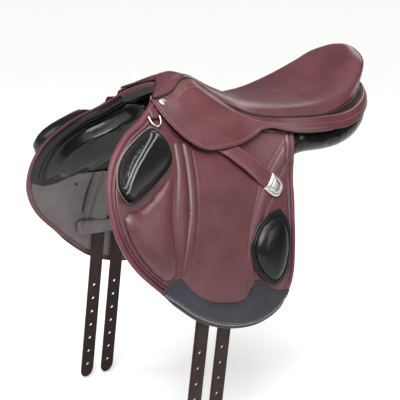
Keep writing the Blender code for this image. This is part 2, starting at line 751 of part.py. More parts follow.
def dee(label, sign):
    """Dee ring hanging in a folded leather chape."""
    here, normal, along, up = surface_frame(sign, DEE_TOP[0], DEE_TOP[1], DEE_OFFSET)
    path = [(-DEE_WIDTH / 2.0, 0.0), (DEE_WIDTH / 2.0, 0.0)]
    for k in range(1, DEE_ARC_STEPS):
        a = math.pi * k / DEE_ARC_STEPS
        path.append((DEE_WIDTH / 2.0 * math.cos(a), -DEE_SHOULDER - (DEE_DROP - DEE_SHOULDER) * math.sin(a)))
    bm = bmesh.new()
    rows = []
    half = DEE_WIRE / 2.0
    count = len(path)
    for k in range(count):
        a = Vector(path[k - 1])
        b = Vector(path[(k + 1) % count])
        run = (b - a).normalized()
        side = Vector((-run.y, run.x))
        row = []
        for s, n in ((-1, -1), (1, -1), (1, 1), (-1, 1)):
            flat = Vector(path[k]) + side * half * s
            row.append(bm.verts.new(here + along * flat.x + up * flat.y + normal * half * n))
        rows.append(row)
    for k in range(count):
        n = (k + 1) % count
        for j in range(4):
            m = (j + 1) % 4
            bm.faces.new((rows[k][j], rows[n][j], rows[n][m], rows[k][m]))
    finish("dee_ring_" + label, bm, steel(), tuple(here))
    gap = half + CHAPE_GAP
    side = gap + 1.0
    turn = (gap * 0.7, -gap - 1.2)
    fold = [(-side, CHAPE_RISE), (-side, -1.0), (-turn[0], turn[1]), turn, (side, -1.0), (side, CHAPE_RISE)]
    chape(label, [here + normal * out + up * rise for out, rise in fold], along)


def chape(label, middles, along):
    """Leather loop round the straight side of the dee."""
    rings = []
    for k, p in enumerate(middles):
        run = (middles[min(k + 1, len(middles) - 1)] - middles[max(k - 1, 0)]).normalized()
        thick = run.cross(along).normalized() * CHAPE_THICK / 2.0
        wide = along * CHAPE_WIDTH / 2.0
        rings.append([p - wide - thick, p + wide - thick, p + wide + thick, p - wide + thick])
    loft("dee_chape_" + label, rings, burgundy())


def stirrup_bar(label, sign):
    """Steel bar that carries the stirrup leather, and the catch at its open end."""
    points = [Vector((sign * side_x(y, z, out), y, z)) for y, z, out in BAR_PATH]
    start, end = points[BAR_STRAIGHT:BAR_STRAIGHT + 2]
    points[BAR_STRAIGHT + 1:BAR_STRAIGHT + 1] = [start.lerp(end, 0.1), start.lerp(end, 0.9)]
    here, normal, along, up = surface_frame(sign, -86.0, 58.0, 8.0)
    bar("stirrup_bar_" + label, points, BAR_WIDTH, BAR_THICK, tuple(normal), steel())
    start = here + along * 6.5
    half = BAR_WIDTH / 2.0
    rings = []
    for run, wide in ((-3.0, 1.0), (0.0, 1.0), (CATCH_LENGTH - 5.0, 0.8), (CATCH_LENGTH, 0.45)):
        p = start + along * run
        n = normal * (BAR_THICK / 2.0)
        w = up * half * wide
        rings.append([p - w - n, p + w - n, p + w + n, p - w + n])
    loft("bar_catch_" + label, rings, steel(), tuple(start))


def arch(name, half_width, centre_y, centre_z, fall_back, fall_down, wide, thin, mat):
    """Bar bent over the withers: fall_back and fall_down say how its ends run back and down."""
    rings = []
    for k in range(-5, 6):
        a = abs(k) / 5.0
        p = Vector((half_width * k / 5.0, centre_y + fall_back * a ** 1.3, centre_z - fall_down * a ** 1.8))
        across = Vector(wide) / 2.0
        up = Vector(thin) / 2.0
        rings.append([p - across - up, p + across - up, p + across + up, p - across + up])
    return loft(name, rings, mat)


def head_arches():
    """Steel head plate under the tree, and the leather facing in front of it."""
    arch("head_plate", 34.0, -120.0, 101.5, -4.0, 9.0, (0.0, 20.0, 0.0), (0.0, 0.0, 3.0), steel())
    arch("pommel_facing", 37.0, -150.0, 116.0, -27.0, 15.0, (0.0, 3.0, 0.0), (0.0, 0.0, 11.0), burgundy())


# ---------------------------------------------------------------- build

def clear_scene():
    for obj in list(bpy.data.objects):
        bpy.data.objects.remove(obj, do_unlink=True)


def main():
    clear_scene()
    seat_cover()
    seat_foam()
    tree()
    cantle_band()
    head_arches()
    for label, sign in SIDES.items():
        flaps(label, sign)
        flap_padding(label, sign)
        keeper(label, sign)
        skirts(label, sign)
        panel(label, sign)
        girth_straps(label, sign)
        saddle_nail(label, sign)
        dee(label, sign)
        stirrup_bar(label, sign)


main()
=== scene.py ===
import math

import bmesh
import bpy
import numpy as np
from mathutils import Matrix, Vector
from mathutils.bvhtree import BVHTree


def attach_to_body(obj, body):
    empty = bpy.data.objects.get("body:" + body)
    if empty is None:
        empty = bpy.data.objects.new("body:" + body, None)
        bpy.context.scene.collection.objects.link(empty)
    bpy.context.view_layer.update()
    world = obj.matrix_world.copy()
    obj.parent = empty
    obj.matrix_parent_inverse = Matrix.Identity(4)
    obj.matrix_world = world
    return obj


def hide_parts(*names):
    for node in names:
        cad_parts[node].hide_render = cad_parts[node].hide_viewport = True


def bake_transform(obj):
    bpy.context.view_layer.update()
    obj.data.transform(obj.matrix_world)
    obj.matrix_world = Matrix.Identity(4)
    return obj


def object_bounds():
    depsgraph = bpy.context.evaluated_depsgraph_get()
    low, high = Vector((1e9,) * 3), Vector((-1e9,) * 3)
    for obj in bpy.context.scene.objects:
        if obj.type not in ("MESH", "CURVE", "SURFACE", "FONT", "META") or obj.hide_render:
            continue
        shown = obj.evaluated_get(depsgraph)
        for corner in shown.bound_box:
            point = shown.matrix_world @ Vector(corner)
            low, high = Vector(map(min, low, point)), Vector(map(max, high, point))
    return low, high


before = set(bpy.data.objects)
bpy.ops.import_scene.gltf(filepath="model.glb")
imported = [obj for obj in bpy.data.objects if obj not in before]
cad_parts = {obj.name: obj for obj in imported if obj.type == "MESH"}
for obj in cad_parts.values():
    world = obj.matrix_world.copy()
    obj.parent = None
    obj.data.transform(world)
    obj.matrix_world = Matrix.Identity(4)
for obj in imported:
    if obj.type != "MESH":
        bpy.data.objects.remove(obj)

# English jumping saddle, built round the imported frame. Lengths are in millimetres until a mesh is made.
# +X is the near (left) side and -Y the front. Outlines and lines on a side are (y, z) points.
MM = 0.001
CAD_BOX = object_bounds()

# The side surface, which both flaps and skirts follow: its half width at each height.
SIDE_BOTTOM = -230.0
SIDE_HEIGHT = 335.0
SIDE_WIDTH = 190.0
SIDE_DROP = 142.0
SIDE_CURVE = 2.2
REAR_FLARE = 34.0

# Hinge lines.
FLAP_FOLD_Z = -54.5
SKIRT_FOLD = ((-192.0, 98.0), (-30.0, 60.0))
STRAP_HINGE_Z = -168.0
STRAP_LEAN = math.radians(7.0)
BEND_REACH = 9.0


# ---------------------------------------------------------------- curves and surfaces

def smooth(a):
    """Smoothstep from 0 to 1."""
    a = np.clip(a, 0.0, 1.0)
    return a * a * (3.0 - 2.0 * a)


def bell(a):
    """Bump of height 1 and half width 1."""
    return np.exp(-a * a)


def unit(vectors):
    """Vectors scaled to length 1."""
    return vectors / np.linalg.norm(vectors, axis=-1, keepdims=True)


def side_x(y, z, out=0.0):
    """Distance from the middle plane to the outer face of a flap, plus an outward offset."""
    t = np.maximum((z - SIDE_BOTTOM) / SIDE_HEIGHT, 0.0)
    flare = REAR_FLARE * smooth((y + 60.0) / 150.0) * smooth((z + 40.0) / 80.0)
    return SIDE_WIDTH - SIDE_DROP * t ** SIDE_CURVE + flare + out


def on_side(yz, out):
    """Points on the left side surface."""
    y, z = yz[..., 0], yz[..., 1]
    return np.stack([side_x(y, z, out), y, z], -1)


def side_normal(yz):
    """Outward normals of the left side surface."""
    y, z = yz[..., 0], yz[..., 1]
    along, up = side_x(y - 1, z) - side_x(y + 1, z), side_x(y, z - 1) - side_x(y, z + 1)
    return unit(np.stack([np.full(y.shape, 2.0), along, up], -1))


def through(points, closed=False, steps=12):
    """Smooth curve through points of any dimension."""
    p = np.array(points, float)
    if closed:
        p = np.vstack([p[-1:], p, p[:2]])
    else:
        p = np.vstack([2 * p[0] - p[1], p, 2 * p[-1] - p[-2]])
    t = np.linspace(0.0, 1.0, steps, endpoint=False)[:, None]
    out = [0.5 * (2 * b + (c - a) * t + (2 * a - 5 * b + 4 * c - d) * t ** 2
                  + (3 * b - a - 3 * c + d) * t ** 3) for a, b, c, d in zip(p, p[1:], p[2:], p[3:])]
    return np.vstack(out if closed else out + [p[-2:-1]])


def run_along(path):
    """Length of a path up to each of its points."""
    return np.concatenate([[0.0], np.cumsum(np.linalg.norm(np.diff(path, axis=0), axis=1))])


def even(path, count, closed=False):
    """Path resampled at equal steps."""
    if closed:
        path = np.vstack([path, path[:1]])
    run = run_along(path)
    where = np.linspace(0.0, run[-1], count, endpoint=not closed)
    return np.stack([np.interp(where, run, path[:, k]) for k in range(path.shape[1])], 1)


def outline_of(points, corners, count):
    """Closed smooth outline that keeps sharp corners at some of its points."""
    if not corners:
        return even(through(points, closed=True), count, closed=True)
    first = corners[0]
    turned = list(points[first:]) + list(points[:first + 1])
    marks = [c - first for c in corners] + [len(points)]
    path = [through(turned[a:b + 1])[:-1] for a, b in zip(marks, marks[1:])]
    return even(np.vstack(path), count, closed=True)


def away(path, yz, closed=False):
    """Distance of each (y, z) from a path."""
    if closed:
        path = np.vstack([path, path[:1]])
    p = yz.reshape(-1, 2)
    best = np.full(len(p), 1e9)
    for s, e in zip(path[:-1], path[1:]):
        d = e - s
        t = np.clip(((p - s) @ d) / max(d @ d, 1e-9), 0.0, 1.0)
        best = np.minimum(best, np.hypot(*(p - s - t[:, None] * d).T))
    return best.reshape(yz.shape[:-1])


def inset(outline, depth):
    """Closed outline moved inward by a distance."""
    run = unit(np.roll(outline, -1, 0) - np.roll(outline, 1, 0))
    inward = np.stack([-run[:, 1], run[:, 0]], 1)
    if np.sum(inward * (outline.mean(0) - outline)) < 0:
        inward = -inward
    return outline + inward * depth


def between(a, b, share):
    """Grid of points from one line to another, at shares of the way across."""
    return a[:, None] + (b - a)[:, None] * np.asarray(share)[None, :, None]


def shrunk(outline, centre, steps):
    """Rings from an outline in to a centre, in even steps."""
    return np.array([centre + (outline - centre) * (1.0 - k / steps) for k in range(steps + 1)])


def spread(*parts):
    """Row of numbers from single values and (first, last, count) runs of even steps."""
    return np.concatenate([np.linspace(*part) if isinstance(part, tuple) else [part] for part in parts])


def edge_fall(distance, radius):
    """How far a rounded edge drops, at a distance in from its outline."""
    return radius * (1.0 - np.sqrt(1.0 - np.clip(1.0 - distance / radius, 0, 1) ** 2))


# ---------------------------------------------------------------- mesh parts as (points, faces)

def join(parts):
    """Several (points, faces) as one."""
    points, faces, start = [], [], 0
    for p, f in parts:
        p = np.asarray(p, float).reshape(-1, 3)
        points.append(p)
        faces += [tuple(i + start for i in face) for face in f]
        start += len(p)
    return np.vstack(points), faces


def grid_faces(rows, cols, wrap=False, start=0):
    """Quads of a grid of points, with its columns closed into rings if wrap."""
    i, j = np.meshgrid(np.arange(rows - 1), np.arange(cols if wrap else cols - 1), indexing="ij")
    k = (j + 1) % cols
    a = np.stack([i * cols + j, i * cols + k, (i + 1) * cols + k, (i + 1) * cols + j], -1).reshape(-1, 4)
    return [tuple(f) for f in (a + start).tolist()]


def tube(path, radius, up, sides=8, closed=False):
    """Round cord along a path on a surface with the given normals."""
    path = np.asarray(path, float)
    if closed:
        run = np.roll(path, -1, 0) - np.roll(path, 1, 0)
    else:
        run = np.gradient(path, axis=0)
    run /= np.linalg.norm(run, axis=1, keepdims=True) + 1e-12
    up = np.broadcast_to(np.asarray(up, float), path.shape)
    across = np.cross(run, up)
    across /= np.linalg.norm(across, axis=1, keepdims=True) + 1e-12
    rise = np.cross(across, run)
    a = np.arange(sides) * 2 * np.pi / sides
    radius = np.broadcast_to(np.asarray(radius, float), (len(path),))[:, None, None]
    turn = across[:, None] * np.cos(a)[:, None] + rise[:, None] * np.sin(a)[:, None]
    rings = path[:, None] + radius * turn
    count = len(path)
    faces = grid_faces(count, sides, wrap=True)
    if closed:
        last = (count - 1) * sides
        faces += [(last + j, last + (j + 1) % sides, (j + 1) % sides, j) for j in range(sides)]
    else:
        faces += [tuple(range(sides)), tuple(range((count - 1) * sides, count * sides))]
    return rings.reshape(-1, 3), faces


# A stitch: where its rings lie along its length, how thick each is and how far it sits out of the leather.
STITCH_STOPS = np.array([-0.5, -0.32, 0.0, 0.32, 0.5])
STITCH_FAT = np.array([0.3, 0.85, 1.0, 0.85, 0.3])
STITCH_SINK = np.array([-0.7, -0.1, 0.15, -0.1, -0.7])
STITCH_SIDES = 6
STITCH_PITCH = 4.6
STITCH_LENGTH = 3.2
STITCH_SLANT = 0.12


def stitches(path, up, radius=0.5):
    """Row of sewn stitches along a path on a surface with the given normals."""
    path = np.asarray(path, float)
    up = np.broadcast_to(np.asarray(up, float), path.shape)
    run = run_along(path)
    where = np.arange(STITCH_PITCH / 2, run[-1], STITCH_PITCH)

    def sample(values, at):
        return np.stack([np.interp(at, run, values[:, k]) for k in range(3)], 1)
    ahead = unit(sample(path, where + 0.5) - sample(path, where - 0.5))
    n = sample(up, where)
    across = unit(np.cross(ahead, n))
    ahead = ahead + across * STITCH_SLANT
    a = np.arange(STITCH_SIDES) * 2 * np.pi / STITCH_SIDES
    turn = across[:, None] * np.cos(a)[:, None] + n[:, None] * np.sin(a)[:, None]
    middle = (sample(path, where)[:, None] + ahead[:, None] * (STITCH_STOPS * STITCH_LENGTH)[:, None]
              + n[:, None] * (STITCH_SINK * radius)[:, None])
    rings = middle[:, :, None] + turn[:, None] * (STITCH_FAT * radius)[:, None, None]
    stops = len(STITCH_STOPS)
    size = stops * STITCH_SIDES
    one = grid_faces(stops, STITCH_SIDES, wrap=True)
    one += [tuple(range(STITCH_SIDES)), tuple(range(size - STITCH_SIDES, size))]
    faces = [tuple(i + size * k for i in f) for k in range(len(where)) for f in one]
    return rings.reshape(-1, 3), faces


def ringed_solid(top, low):
    """Closed solid between an outer and an inner set of rings, with the faces of its cut edge."""
    rows, count = top.shape[:2]
    start = rows * count
    faces = grid_faces(rows, count, wrap=True)
    faces += [f[::-1] for f in grid_faces(len(low), count, wrap=True, start=start)]
    wall = [(j, start + j, start + (j + 1) % count, (j + 1) % count) for j in range(count)]
    edge = set(range(len(faces), len(faces) + count)) | set(range(count * 2))
    return np.vstack([top.reshape(-1, 3), low.reshape(-1, 3)]), faces + wall, edge


def strip_solid(top, low):
    """Closed solid between an outer and an inner grid, with its wall faces listed."""
    rows, cols = top.shape[:2]
    n = rows * cols
    faces = grid_faces(rows, cols) + [f[::-1] for f in grid_faces(rows, cols, start=n)]
    wall = grid_wall(rows, cols)
    edge = set(range(len(faces), len(faces) + len(wall)))
    return np.vstack([top.reshape(-1, 3), low.reshape(-1, 3)]), faces + wall, edge


def grid_wall(rows, cols, ends=True):
    """Quads that join the borders of two grids of points, one listed after the other."""
    n = rows * cols
    wall = []
    for i in range(rows - 1):
        for j in (0, cols - 1):
            wall.append((i * cols + j, (i + 1) * cols + j, n + (i + 1) * cols + j, n + i * cols + j))
    for i in (0, rows - 1) if ends else ():
        for j in range(cols - 1):
            wall.append((i * cols + j, i * cols + j + 1, n + i * cols + j + 1, n + i * cols + j))
    return wall


def leather_sheet(outline, inner, outer, lift=None, depths=(0, 0.5, 1.1, 2.0, 3.2), steps=40, bevel=1.2,
                  centre=None):
    """Sheet on the left side surface from its outline inward, with the faces of its cut edge."""
    centre = outline.mean(0) if centre is None else np.array(centre, float)
    out = outline - centre
    reach = np.linalg.norm(out, axis=1, keepdims=True)
    shares = [1.0 - d / reach for d in depths]
    shares += [shares[-1] * (1.0 - k / steps) for k in range(1, steps)]
    yz = np.array([centre + out * s for s in shares] + [np.broadcast_to(centre, out.shape)])
    drop = np.zeros((len(yz), 1))
    drop[:len(depths), 0] = edge_fall(np.array(depths), bevel)
    rise = lift(yz) if lift else 0.0
    keep = [0, 2] + list(range(len(depths), len(yz) - 1, 4)) + [len(yz) - 1]
    return ringed_solid(on_side(yz, outer + rise - drop), on_side(yz[keep], inner + drop[keep] * 0.6))


# ---------------------------------------------------------------- materials

def ramp_node(nodes, stops):
    """Colour ramp with (place, colour) stops."""
    ramp = nodes.new("ShaderNodeValToRGB")
    while len(ramp.color_ramp.elements) < len(stops):
        ramp.color_ramp.elements.new(0.5)
    for element, (place, color) in zip(ramp.color_ramp.elements, stops):
        element.position = place
        element.color = (*color, 1.0)
    return ramp


# Texture that makes a material's grain: its node, the output used and its settings.
PATTERNS = {"VORONOI": ("ShaderNodeTexVoronoi", "Distance", {}),
            "WAVE": ("ShaderNodeTexWave", "Fac", {"Distortion": 3.0, "Detail": 3.0}),
            "NOISE": ("ShaderNodeTexNoise", "Fac", {"Detail": 6.0})}
COLOR_CELLS = 9.0
FINE_CELLS = 30.0


def surface(name, colors, rough, grain, bump, pattern="VORONOI", metal=0.0, specular=0.5):
    """Procedural material: slow colour change, fine grain in the bump, uneven gloss."""
    mat = bpy.data.materials.new(name)
    mat.use_nodes = True
    nodes, links = mat.node_tree.nodes, mat.node_tree.links
    shader = nodes["Principled BSDF"]
    shader.inputs["Metallic"].default_value = metal
    shader.inputs["Specular IOR Level"].default_value = specular
    coord = nodes.new("ShaderNodeTexCoord")
    slow = nodes.new("ShaderNodeTexNoise")
    slow.inputs["Scale"].default_value = COLOR_CELLS
    slow.inputs["Detail"].default_value = 5.0
    slow.inputs["Roughness"].default_value = 0.6
    fine = nodes.new("ShaderNodeTexNoise")
    fine.inputs["Scale"].default_value = COLOR_CELLS * FINE_CELLS
    fine.inputs["Detail"].default_value = 4.0
    blend = nodes.new("ShaderNodeMath")
    blend.operation = "MULTIPLY_ADD"
    blend.inputs[1].default_value = 0.25
    ramp = ramp_node(nodes, [(0.42, colors[0]), (0.6, colors[1]), (0.8, colors[2])])
    gloss = nodes.new("ShaderNodeMapRange")
    gloss.inputs["From Min"].default_value = 0.3
    gloss.inputs["From Max"].default_value = 0.7
    gloss.inputs["To Min"].default_value = rough[0]
    gloss.inputs["To Max"].default_value = rough[1]
    kind, output, settings = PATTERNS[pattern]
    cells = nodes.new(kind)
    cells.inputs["Scale"].default_value = grain
    for key, value in settings.items():
        cells.inputs[key].default_value = value
    relief = nodes.new("ShaderNodeBump")
    relief.inputs["Strength"].default_value = bump
    relief.inputs["Distance"].default_value = 0.0004
    for tex in (slow, fine, cells):
        links.new(coord.outputs["Object"], tex.inputs["Vector"])
    links.new(fine.outputs["Fac"], blend.inputs[0])
    links.new(slow.outputs["Fac"], blend.inputs[2])
    links.new(blend.outputs[0], ramp.inputs["Fac"])
    links.new(ramp.outputs["Color"], shader.inputs["Base Color"])
    links.new(fine.outputs["Fac"], gloss.inputs["Value"])
    links.new(gloss.outputs["Result"], shader.inputs["Roughness"])
    links.new(cells.outputs[output], relief.inputs["Height"])
    links.new(relief.outputs["Normal"], shader.inputs["Normal"])
    return mat


BURGUNDY = surface("burgundy", [(0.055, 0.013, 0.016), (0.078, 0.021, 0.025), (0.112, 0.035, 0.040)],
                   rough=(0.33, 0.44), grain=1000.0, bump=0.14, specular=0.5)
SEAT_LEATHER = surface("seat_burgundy", [(0.062, 0.015, 0.019), (0.082, 0.023, 0.028), (0.108, 0.035, 0.041)],
                       rough=(0.30, 0.40), grain=820.0, bump=0.12, specular=0.55)
# Lighter copy of the flap leather, for the rolls of the flap rim, its cut edge and the arch's rim cord: painted
# highlight.
LIT_RIM = surface("rolled_rim_painted_highlight", [(0.070, 0.017, 0.022), (0.100, 0.028, 0.035), (0.140, 0.046, 0.055)],
              rough=(0.34, 0.46), grain=1100.0, bump=0.08, specular=0.3)
CUT_EDGE = surface("cut_edge", [(0.20, 0.085, 0.078), (0.28, 0.13, 0.115), (0.36, 0.19, 0.165)],
                   rough=(0.42, 0.58), grain=700.0, bump=0.2, pattern="NOISE")
# Near-black: the seat's welt, and also painted shade in the flap rim grooves, along the flap creases and in the
# gap by the seat.
DARK_WELT_AND_SHADE = surface("dark_welt_and_painted_shade", [(0.010, 0.003, 0.004), (0.018, 0.006, 0.007), (0.032, 0.010, 0.012)],
               rough=(0.42, 0.55), grain=1100.0, bump=0.15)
BLACK = surface("black_grain", [(0.004, 0.004, 0.0045), (0.007, 0.007, 0.008), (0.013, 0.013, 0.014)],
                rough=(0.2, 0.28), grain=700.0, bump=0.05, specular=0.26)
PANEL_BLACK = surface("panel_black", [(0.003, 0.003, 0.0032), (0.005, 0.005, 0.0055), (0.008, 0.008, 0.0085)],
                      rough=(0.16, 0.24), grain=620.0, bump=0.03, specular=0.34)
# Grey: the cut edge of the knee flanges, and painted highlight on the knee block cords.
BLACK_EDGE_AND_HIGHLIGHT = surface("black_edge_and_painted_highlight", [(0.07, 0.068, 0.066), (0.12, 0.115, 0.11), (0.18, 0.172, 0.165)],
                     rough=(0.32, 0.45), grain=900.0, bump=0.2)
SLATE = surface("slate", [(0.009, 0.009, 0.014), (0.016, 0.016, 0.024), (0.027, 0.026, 0.037)],
                rough=(0.4, 0.52), grain=520.0, bump=0.2, pattern="NOISE", specular=0.35)
GREY = surface("grey_leather", [(0.050, 0.042, 0.041), (0.080, 0.068, 0.067), (0.120, 0.104, 0.102)],
               rough=(0.36, 0.5), grain=760.0, bump=0.2, specular=0.6)
BROWN = surface("strap_brown", [(0.008, 0.0032, 0.0028), (0.014, 0.0058, 0.005), (0.026, 0.011, 0.0095)],
                rough=(0.4, 0.52), grain=640.0, bump=0.15, pattern="NOISE", specular=0.22)
BROWN_EDGE = surface("strap_edge", [(0.022, 0.010, 0.008), (0.036, 0.017, 0.014), (0.055, 0.028, 0.023)],
                     rough=(0.45, 0.6), grain=600.0, bump=0.25, pattern="NOISE")
STEEL = surface("polished_steel", [(0.60, 0.56, 0.555), (0.70, 0.66, 0.655), (0.78, 0.75, 0.745)],
                rough=(0.26, 0.38), grain=400.0, bump=0.05, pattern="NOISE", metal=1.0)
THREAD = surface("rose_thread", [(0.16, 0.065, 0.062), (0.24, 0.11, 0.10), (0.33, 0.17, 0.155)],
                 rough=(0.6, 0.75), grain=1600.0, bump=0.4, pattern="WAVE")
DARK_THREAD = surface("dark_thread", [(0.012, 0.009, 0.009), (0.020, 0.016, 0.015), (0.034, 0.027, 0.026)],
                      rough=(0.6, 0.75), grain=1600.0, bump=0.4, pattern="WAVE")
PALE_THREAD = surface("pale_thread", [(0.13, 0.125, 0.12), (0.20, 0.19, 0.185), (0.28, 0.27, 0.26)],
                      rough=(0.5, 0.65), grain=1600.0, bump=0.4, pattern="WAVE")
FOAM = surface("cream_foam", [(0.42, 0.37, 0.28), (0.5, 0.45, 0.35), (0.58, 0.53, 0.43)],
               rough=(0.8, 0.95), grain=500.0, bump=0.6, pattern="NOISE")
WOOD = surface("beech_laminate", [(0.24, 0.14, 0.07), (0.33, 0.21, 0.12), (0.42, 0.29, 0.17)],
               rough=(0.45, 0.6), grain=60.0, bump=0.2, pattern="WAVE")
WEBBING = surface("black_webbing", [(0.010, 0.010, 0.010), (0.018, 0.018, 0.018), (0.03, 0.03, 0.03)],
                  rough=(0.75, 0.9), grain=320.0, bump=0.6, pattern="WAVE")


# ---------------------------------------------------------------- pieces

def new_object(name, points, faces, mats, edge=(), sharp=50.0):
    """Object from points in millimetres. Faces listed in edge take the second material."""
    mesh = bpy.data.meshes.new(name)
    mesh.from_pydata((np.asarray(points) * MM).tolist(), [], faces)
    for mat in mats:
        mesh.materials.append(mat)
    if len(edge):
        index = np.zeros(len(mesh.polygons), np.int32)
        index[sorted(edge)] = 1
        mesh.polygons.foreach_set("material_index", index)
    bm = bmesh.new()
    bm.from_mesh(mesh)
    bmesh.ops.remove_doubles(bm, verts=bm.verts, dist=0.00002)
    bmesh.ops.recalc_face_normals(bm, faces=bm.faces)
    bm.to_mesh(mesh)
    bm.free()
    mesh.shade_smooth()
    mesh.set_sharp_from_angle(angle=math.radians(sharp))
    obj = bpy.data.objects.new(name, mesh)
    bpy.context.scene.collection.objects.link(obj)
    return obj


def mirrored(obj, name):
    """Copy on the other side of the middle plane."""
    twin = obj.copy()
    twin.data = obj.data.copy()
    twin.name = name
    twin.data.name = name
    co = np.zeros(len(twin.data.vertices) * 3, np.float32)
    twin.data.vertices.foreach_get("co", co)
    co = co.reshape(-1, 3)
    co[:, 0] *= -1.0
    twin.data.vertices.foreach_set("co", co.ravel())
    twin.data.flip_normals()
    twin.data.update()
    bpy.context.scene.collection.objects.link(twin)
    return twin


def attach(obj, side, body, nodes=(), slot=None, bend=None, fill=None):
    """Put a piece on its body, or, when it has a bend, only make its transform real; hide the CAD nodes it stands
    for.
    """
    if bend:
        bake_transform(obj)
    else:
        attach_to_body(obj, body.format(side=side))
    if nodes:
        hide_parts(*[n.format(side=side) for n in nodes])
    return obj


def pair(name, obj, body="root", **how):
    """A left piece and its mirror image, each on its own side's body when it has no bend."""
    twin = mirrored(obj, name + "_right")
    obj.name = name + "_left"
    attach(obj, "left", body, **how)
    attach(twin, "right", body, **how)
    return obj, twin


def bend_over(a, b, middle, down=(0.0, 0.0, -1.0)):
    """Bend of a piece from body a, above a fold's middle, to body b below it."""
    reach = np.array(down) * BEND_REACH
    return a, b, tuple(middle - reach), tuple(middle + reach)


FLAP_BEND = bend_over("root", "flap_{side}", np.array([156.0, -150.0, FLAP_FOLD_Z]))
PRESSURE = 4.0
CLOTH_FRAMES = 20


def rows_of(name, rows, mat, body="root", **how):
    """Pair of pieces made of stitch rows, cords or other small parts."""
    return pair(name, new_object(name, *join(rows), [mat]), body, **how)


def puffed(obj, voxel, cap, passes):
    """Stuffed form: the closed mesh remeshed and blown up as cloth, each point's travel capped (metres)."""
    bpy.context.view_layer.objects.active = obj
    remesh = obj.modifiers.new("remesh", "REMESH")
    remesh.mode = "VOXEL"
    remesh.voxel_size = voxel
    graph = bpy.context.evaluated_depsgraph_get()
    mesh = bpy.data.meshes.new_from_object(obj.evaluated_get(graph))
    obj.modifiers.clear()
    mats = list(obj.data.materials)
    obj.data = mesh
    mesh.materials.clear()
    for mat in mats:
        mesh.materials.append(mat)
    rest = np.array([v.co for v in mesh.vertices])
    cloth = obj.modifiers.new("cloth", "CLOTH")
    cloth.settings.use_pressure = True
    cloth.settings.uniform_pressure_force = PRESSURE
    cloth.settings.effector_weights.gravity = 0.0
    cloth.settings.quality = 4
    scene = bpy.context.scene
    for number in range(1, CLOTH_FRAMES + 1):
        scene.frame_set(number)
    graph = bpy.context.evaluated_depsgraph_get()
    moved = np.array([v.co for v in obj.evaluated_get(graph).data.vertices])
    obj.modifiers.clear()
    scene.frame_set(1)
    step = moved - rest
    length = np.linalg.norm(step, axis=1, keepdims=True)
    step *= np.minimum(1.0, cap / np.maximum(length, 1e-9))
    mesh.vertices.foreach_set("co", (rest + step).astype(np.float32).ravel())
    bm = bmesh.new()
    bm.from_mesh(mesh)
    for _ in range(passes):
        bmesh.ops.smooth_vert(bm, verts=bm.verts, factor=0.5, use_axis_x=True, use_axis_y=True,
                              use_axis_z=True)
    bm.to_mesh(mesh)
    bm.free()
    return obj


def subdivided(obj):
    """One round of subdivision, made real."""
    mod = obj.modifiers.new("subdivide", "SUBSURF")
    mod.levels = mod.render_levels = 1
    graph = bpy.context.evaluated_depsgraph_get()
    mesh = bpy.data.meshes.new_from_object(obj.evaluated_get(graph))
    obj.modifiers.clear()
    obj.data = mesh
    mesh.shade_smooth()
    return obj


def shift_points(obj, move):
    """Move each point by a function of all points, in millimetres."""
    co = np.array([v.co for v in obj.data.vertices]) / MM
    obj.data.vertices.foreach_set("co", (move(co) * MM).astype(np.float32).ravel())
    obj.data.update()


def cast_on(obj, yz, off, start=0.0, toward=1.0):
    """First points met on a left piece at each (y, z), going along X from start, with their normals."""
    tree = BVHTree.FromObject(obj, bpy.context.evaluated_depsgraph_get())
    points, normals = [], []
    for y, z in yz:
        hit, normal, _, _ = tree.ray_cast(Vector((start, y, z)) * MM, Vector((toward, 0.0, 0.0)))
        if not hit:
            continue
        normal = np.array(normal) * (-1.0 if normal.x * toward > 0 else 1.0)
        points.append(np.array(hit) / MM + normal * off)
        normals.append(normal)
    return np.array(points), np.array(normals)


# ---------------------------------------------------------------- panels

# Sections of a panel. Front: y, top, low, thickness. Middle: also the gullet edge's x and z.
# Rear: y, half width, top, low, thickness, gullet edge's x and z.
PANEL_FRONT = [(-298, 2, -46, 7), (-280, 32, -55, 15), (-250, 54, -56, 21), (-215, 74, -50, 24),
               (-185, 90, -42, 26)]
PANEL_MIDDLE = [(-150, 86, -38, 28, 30, 91), (-115, 82, -35, 30, 30, 88), (-80, 70, -28, 32, 30, 80),
                (-40, 52, -18, 33, 31, 64), (0, 42, -8, 34, 32, 54), (28, 40, 0, 35, 33, 50)]
PANEL_REAR = [(50, 130, 46, 4, 35, 34, 49), (95, 130, 47, 5, 34, 35, 50), (135, 125, 53, 8, 32, 36, 54),
              (170, 114, 62, 15, 30, 36, 60), (200, 98, 70, 26, 27, 35, 66), (225, 78, 74, 40, 20, 34, 70),
              (243, 58, 74, 56, 10, 34, 71)]
FLAP_OUTLINE = [(-190, 102), (-221, 81), (-255, 64), (-289, 35), (-308, 2), (-315, -35), (-311, -73),
                (-292, -112), (-257, -150), (-202, -199), (-166, -219), (-130, -230), (-92, -233),
                (-58, -224), (-33, -204), (-17, -170), (-8, -125), (0, -80), (6, -56), (16, -10), (30, 52),
                (0, 57), (-29, 63), (-58, 71), (-84, 84), (-104, 94), (-150, 100)]
FLAP_EDGE = outline_of(FLAP_OUTLINE, [0, 20], 560)


PANEL_POINTS = 26
PANEL_BACK = -10.5
PANEL_LOW = (-298, -280, -250, -215, -185, -150, -110), (-46, -55, -56, -50, -42, -38, -34)
# The leather sheet that faces a panel's front border, from the rim of the flap to this line.
FACING_END = [(-176, 84), (-172, 40), (-172, 0), (-172, -24), (-176, -36), (-214, -40), (-240, -49), (-266, -58),
              (-290, -59)]
FACING_INSET = 6.8


def panel_section(outer, top_in, low_in, swell):
    """Section of a panel: outer face from the top down, then the stuffed bearing face back up."""
    a, b = np.array(low_in, float), np.array(top_in, float)
    off = unit(-np.abs((b - a)[::-1]))
    face = [a + (b - a) * t + off * swell * math.sin(math.pi * t) for t in np.linspace(0, 1, 5)]
    return even(np.vstack([outer, face]), PANEL_POINTS, closed=True)


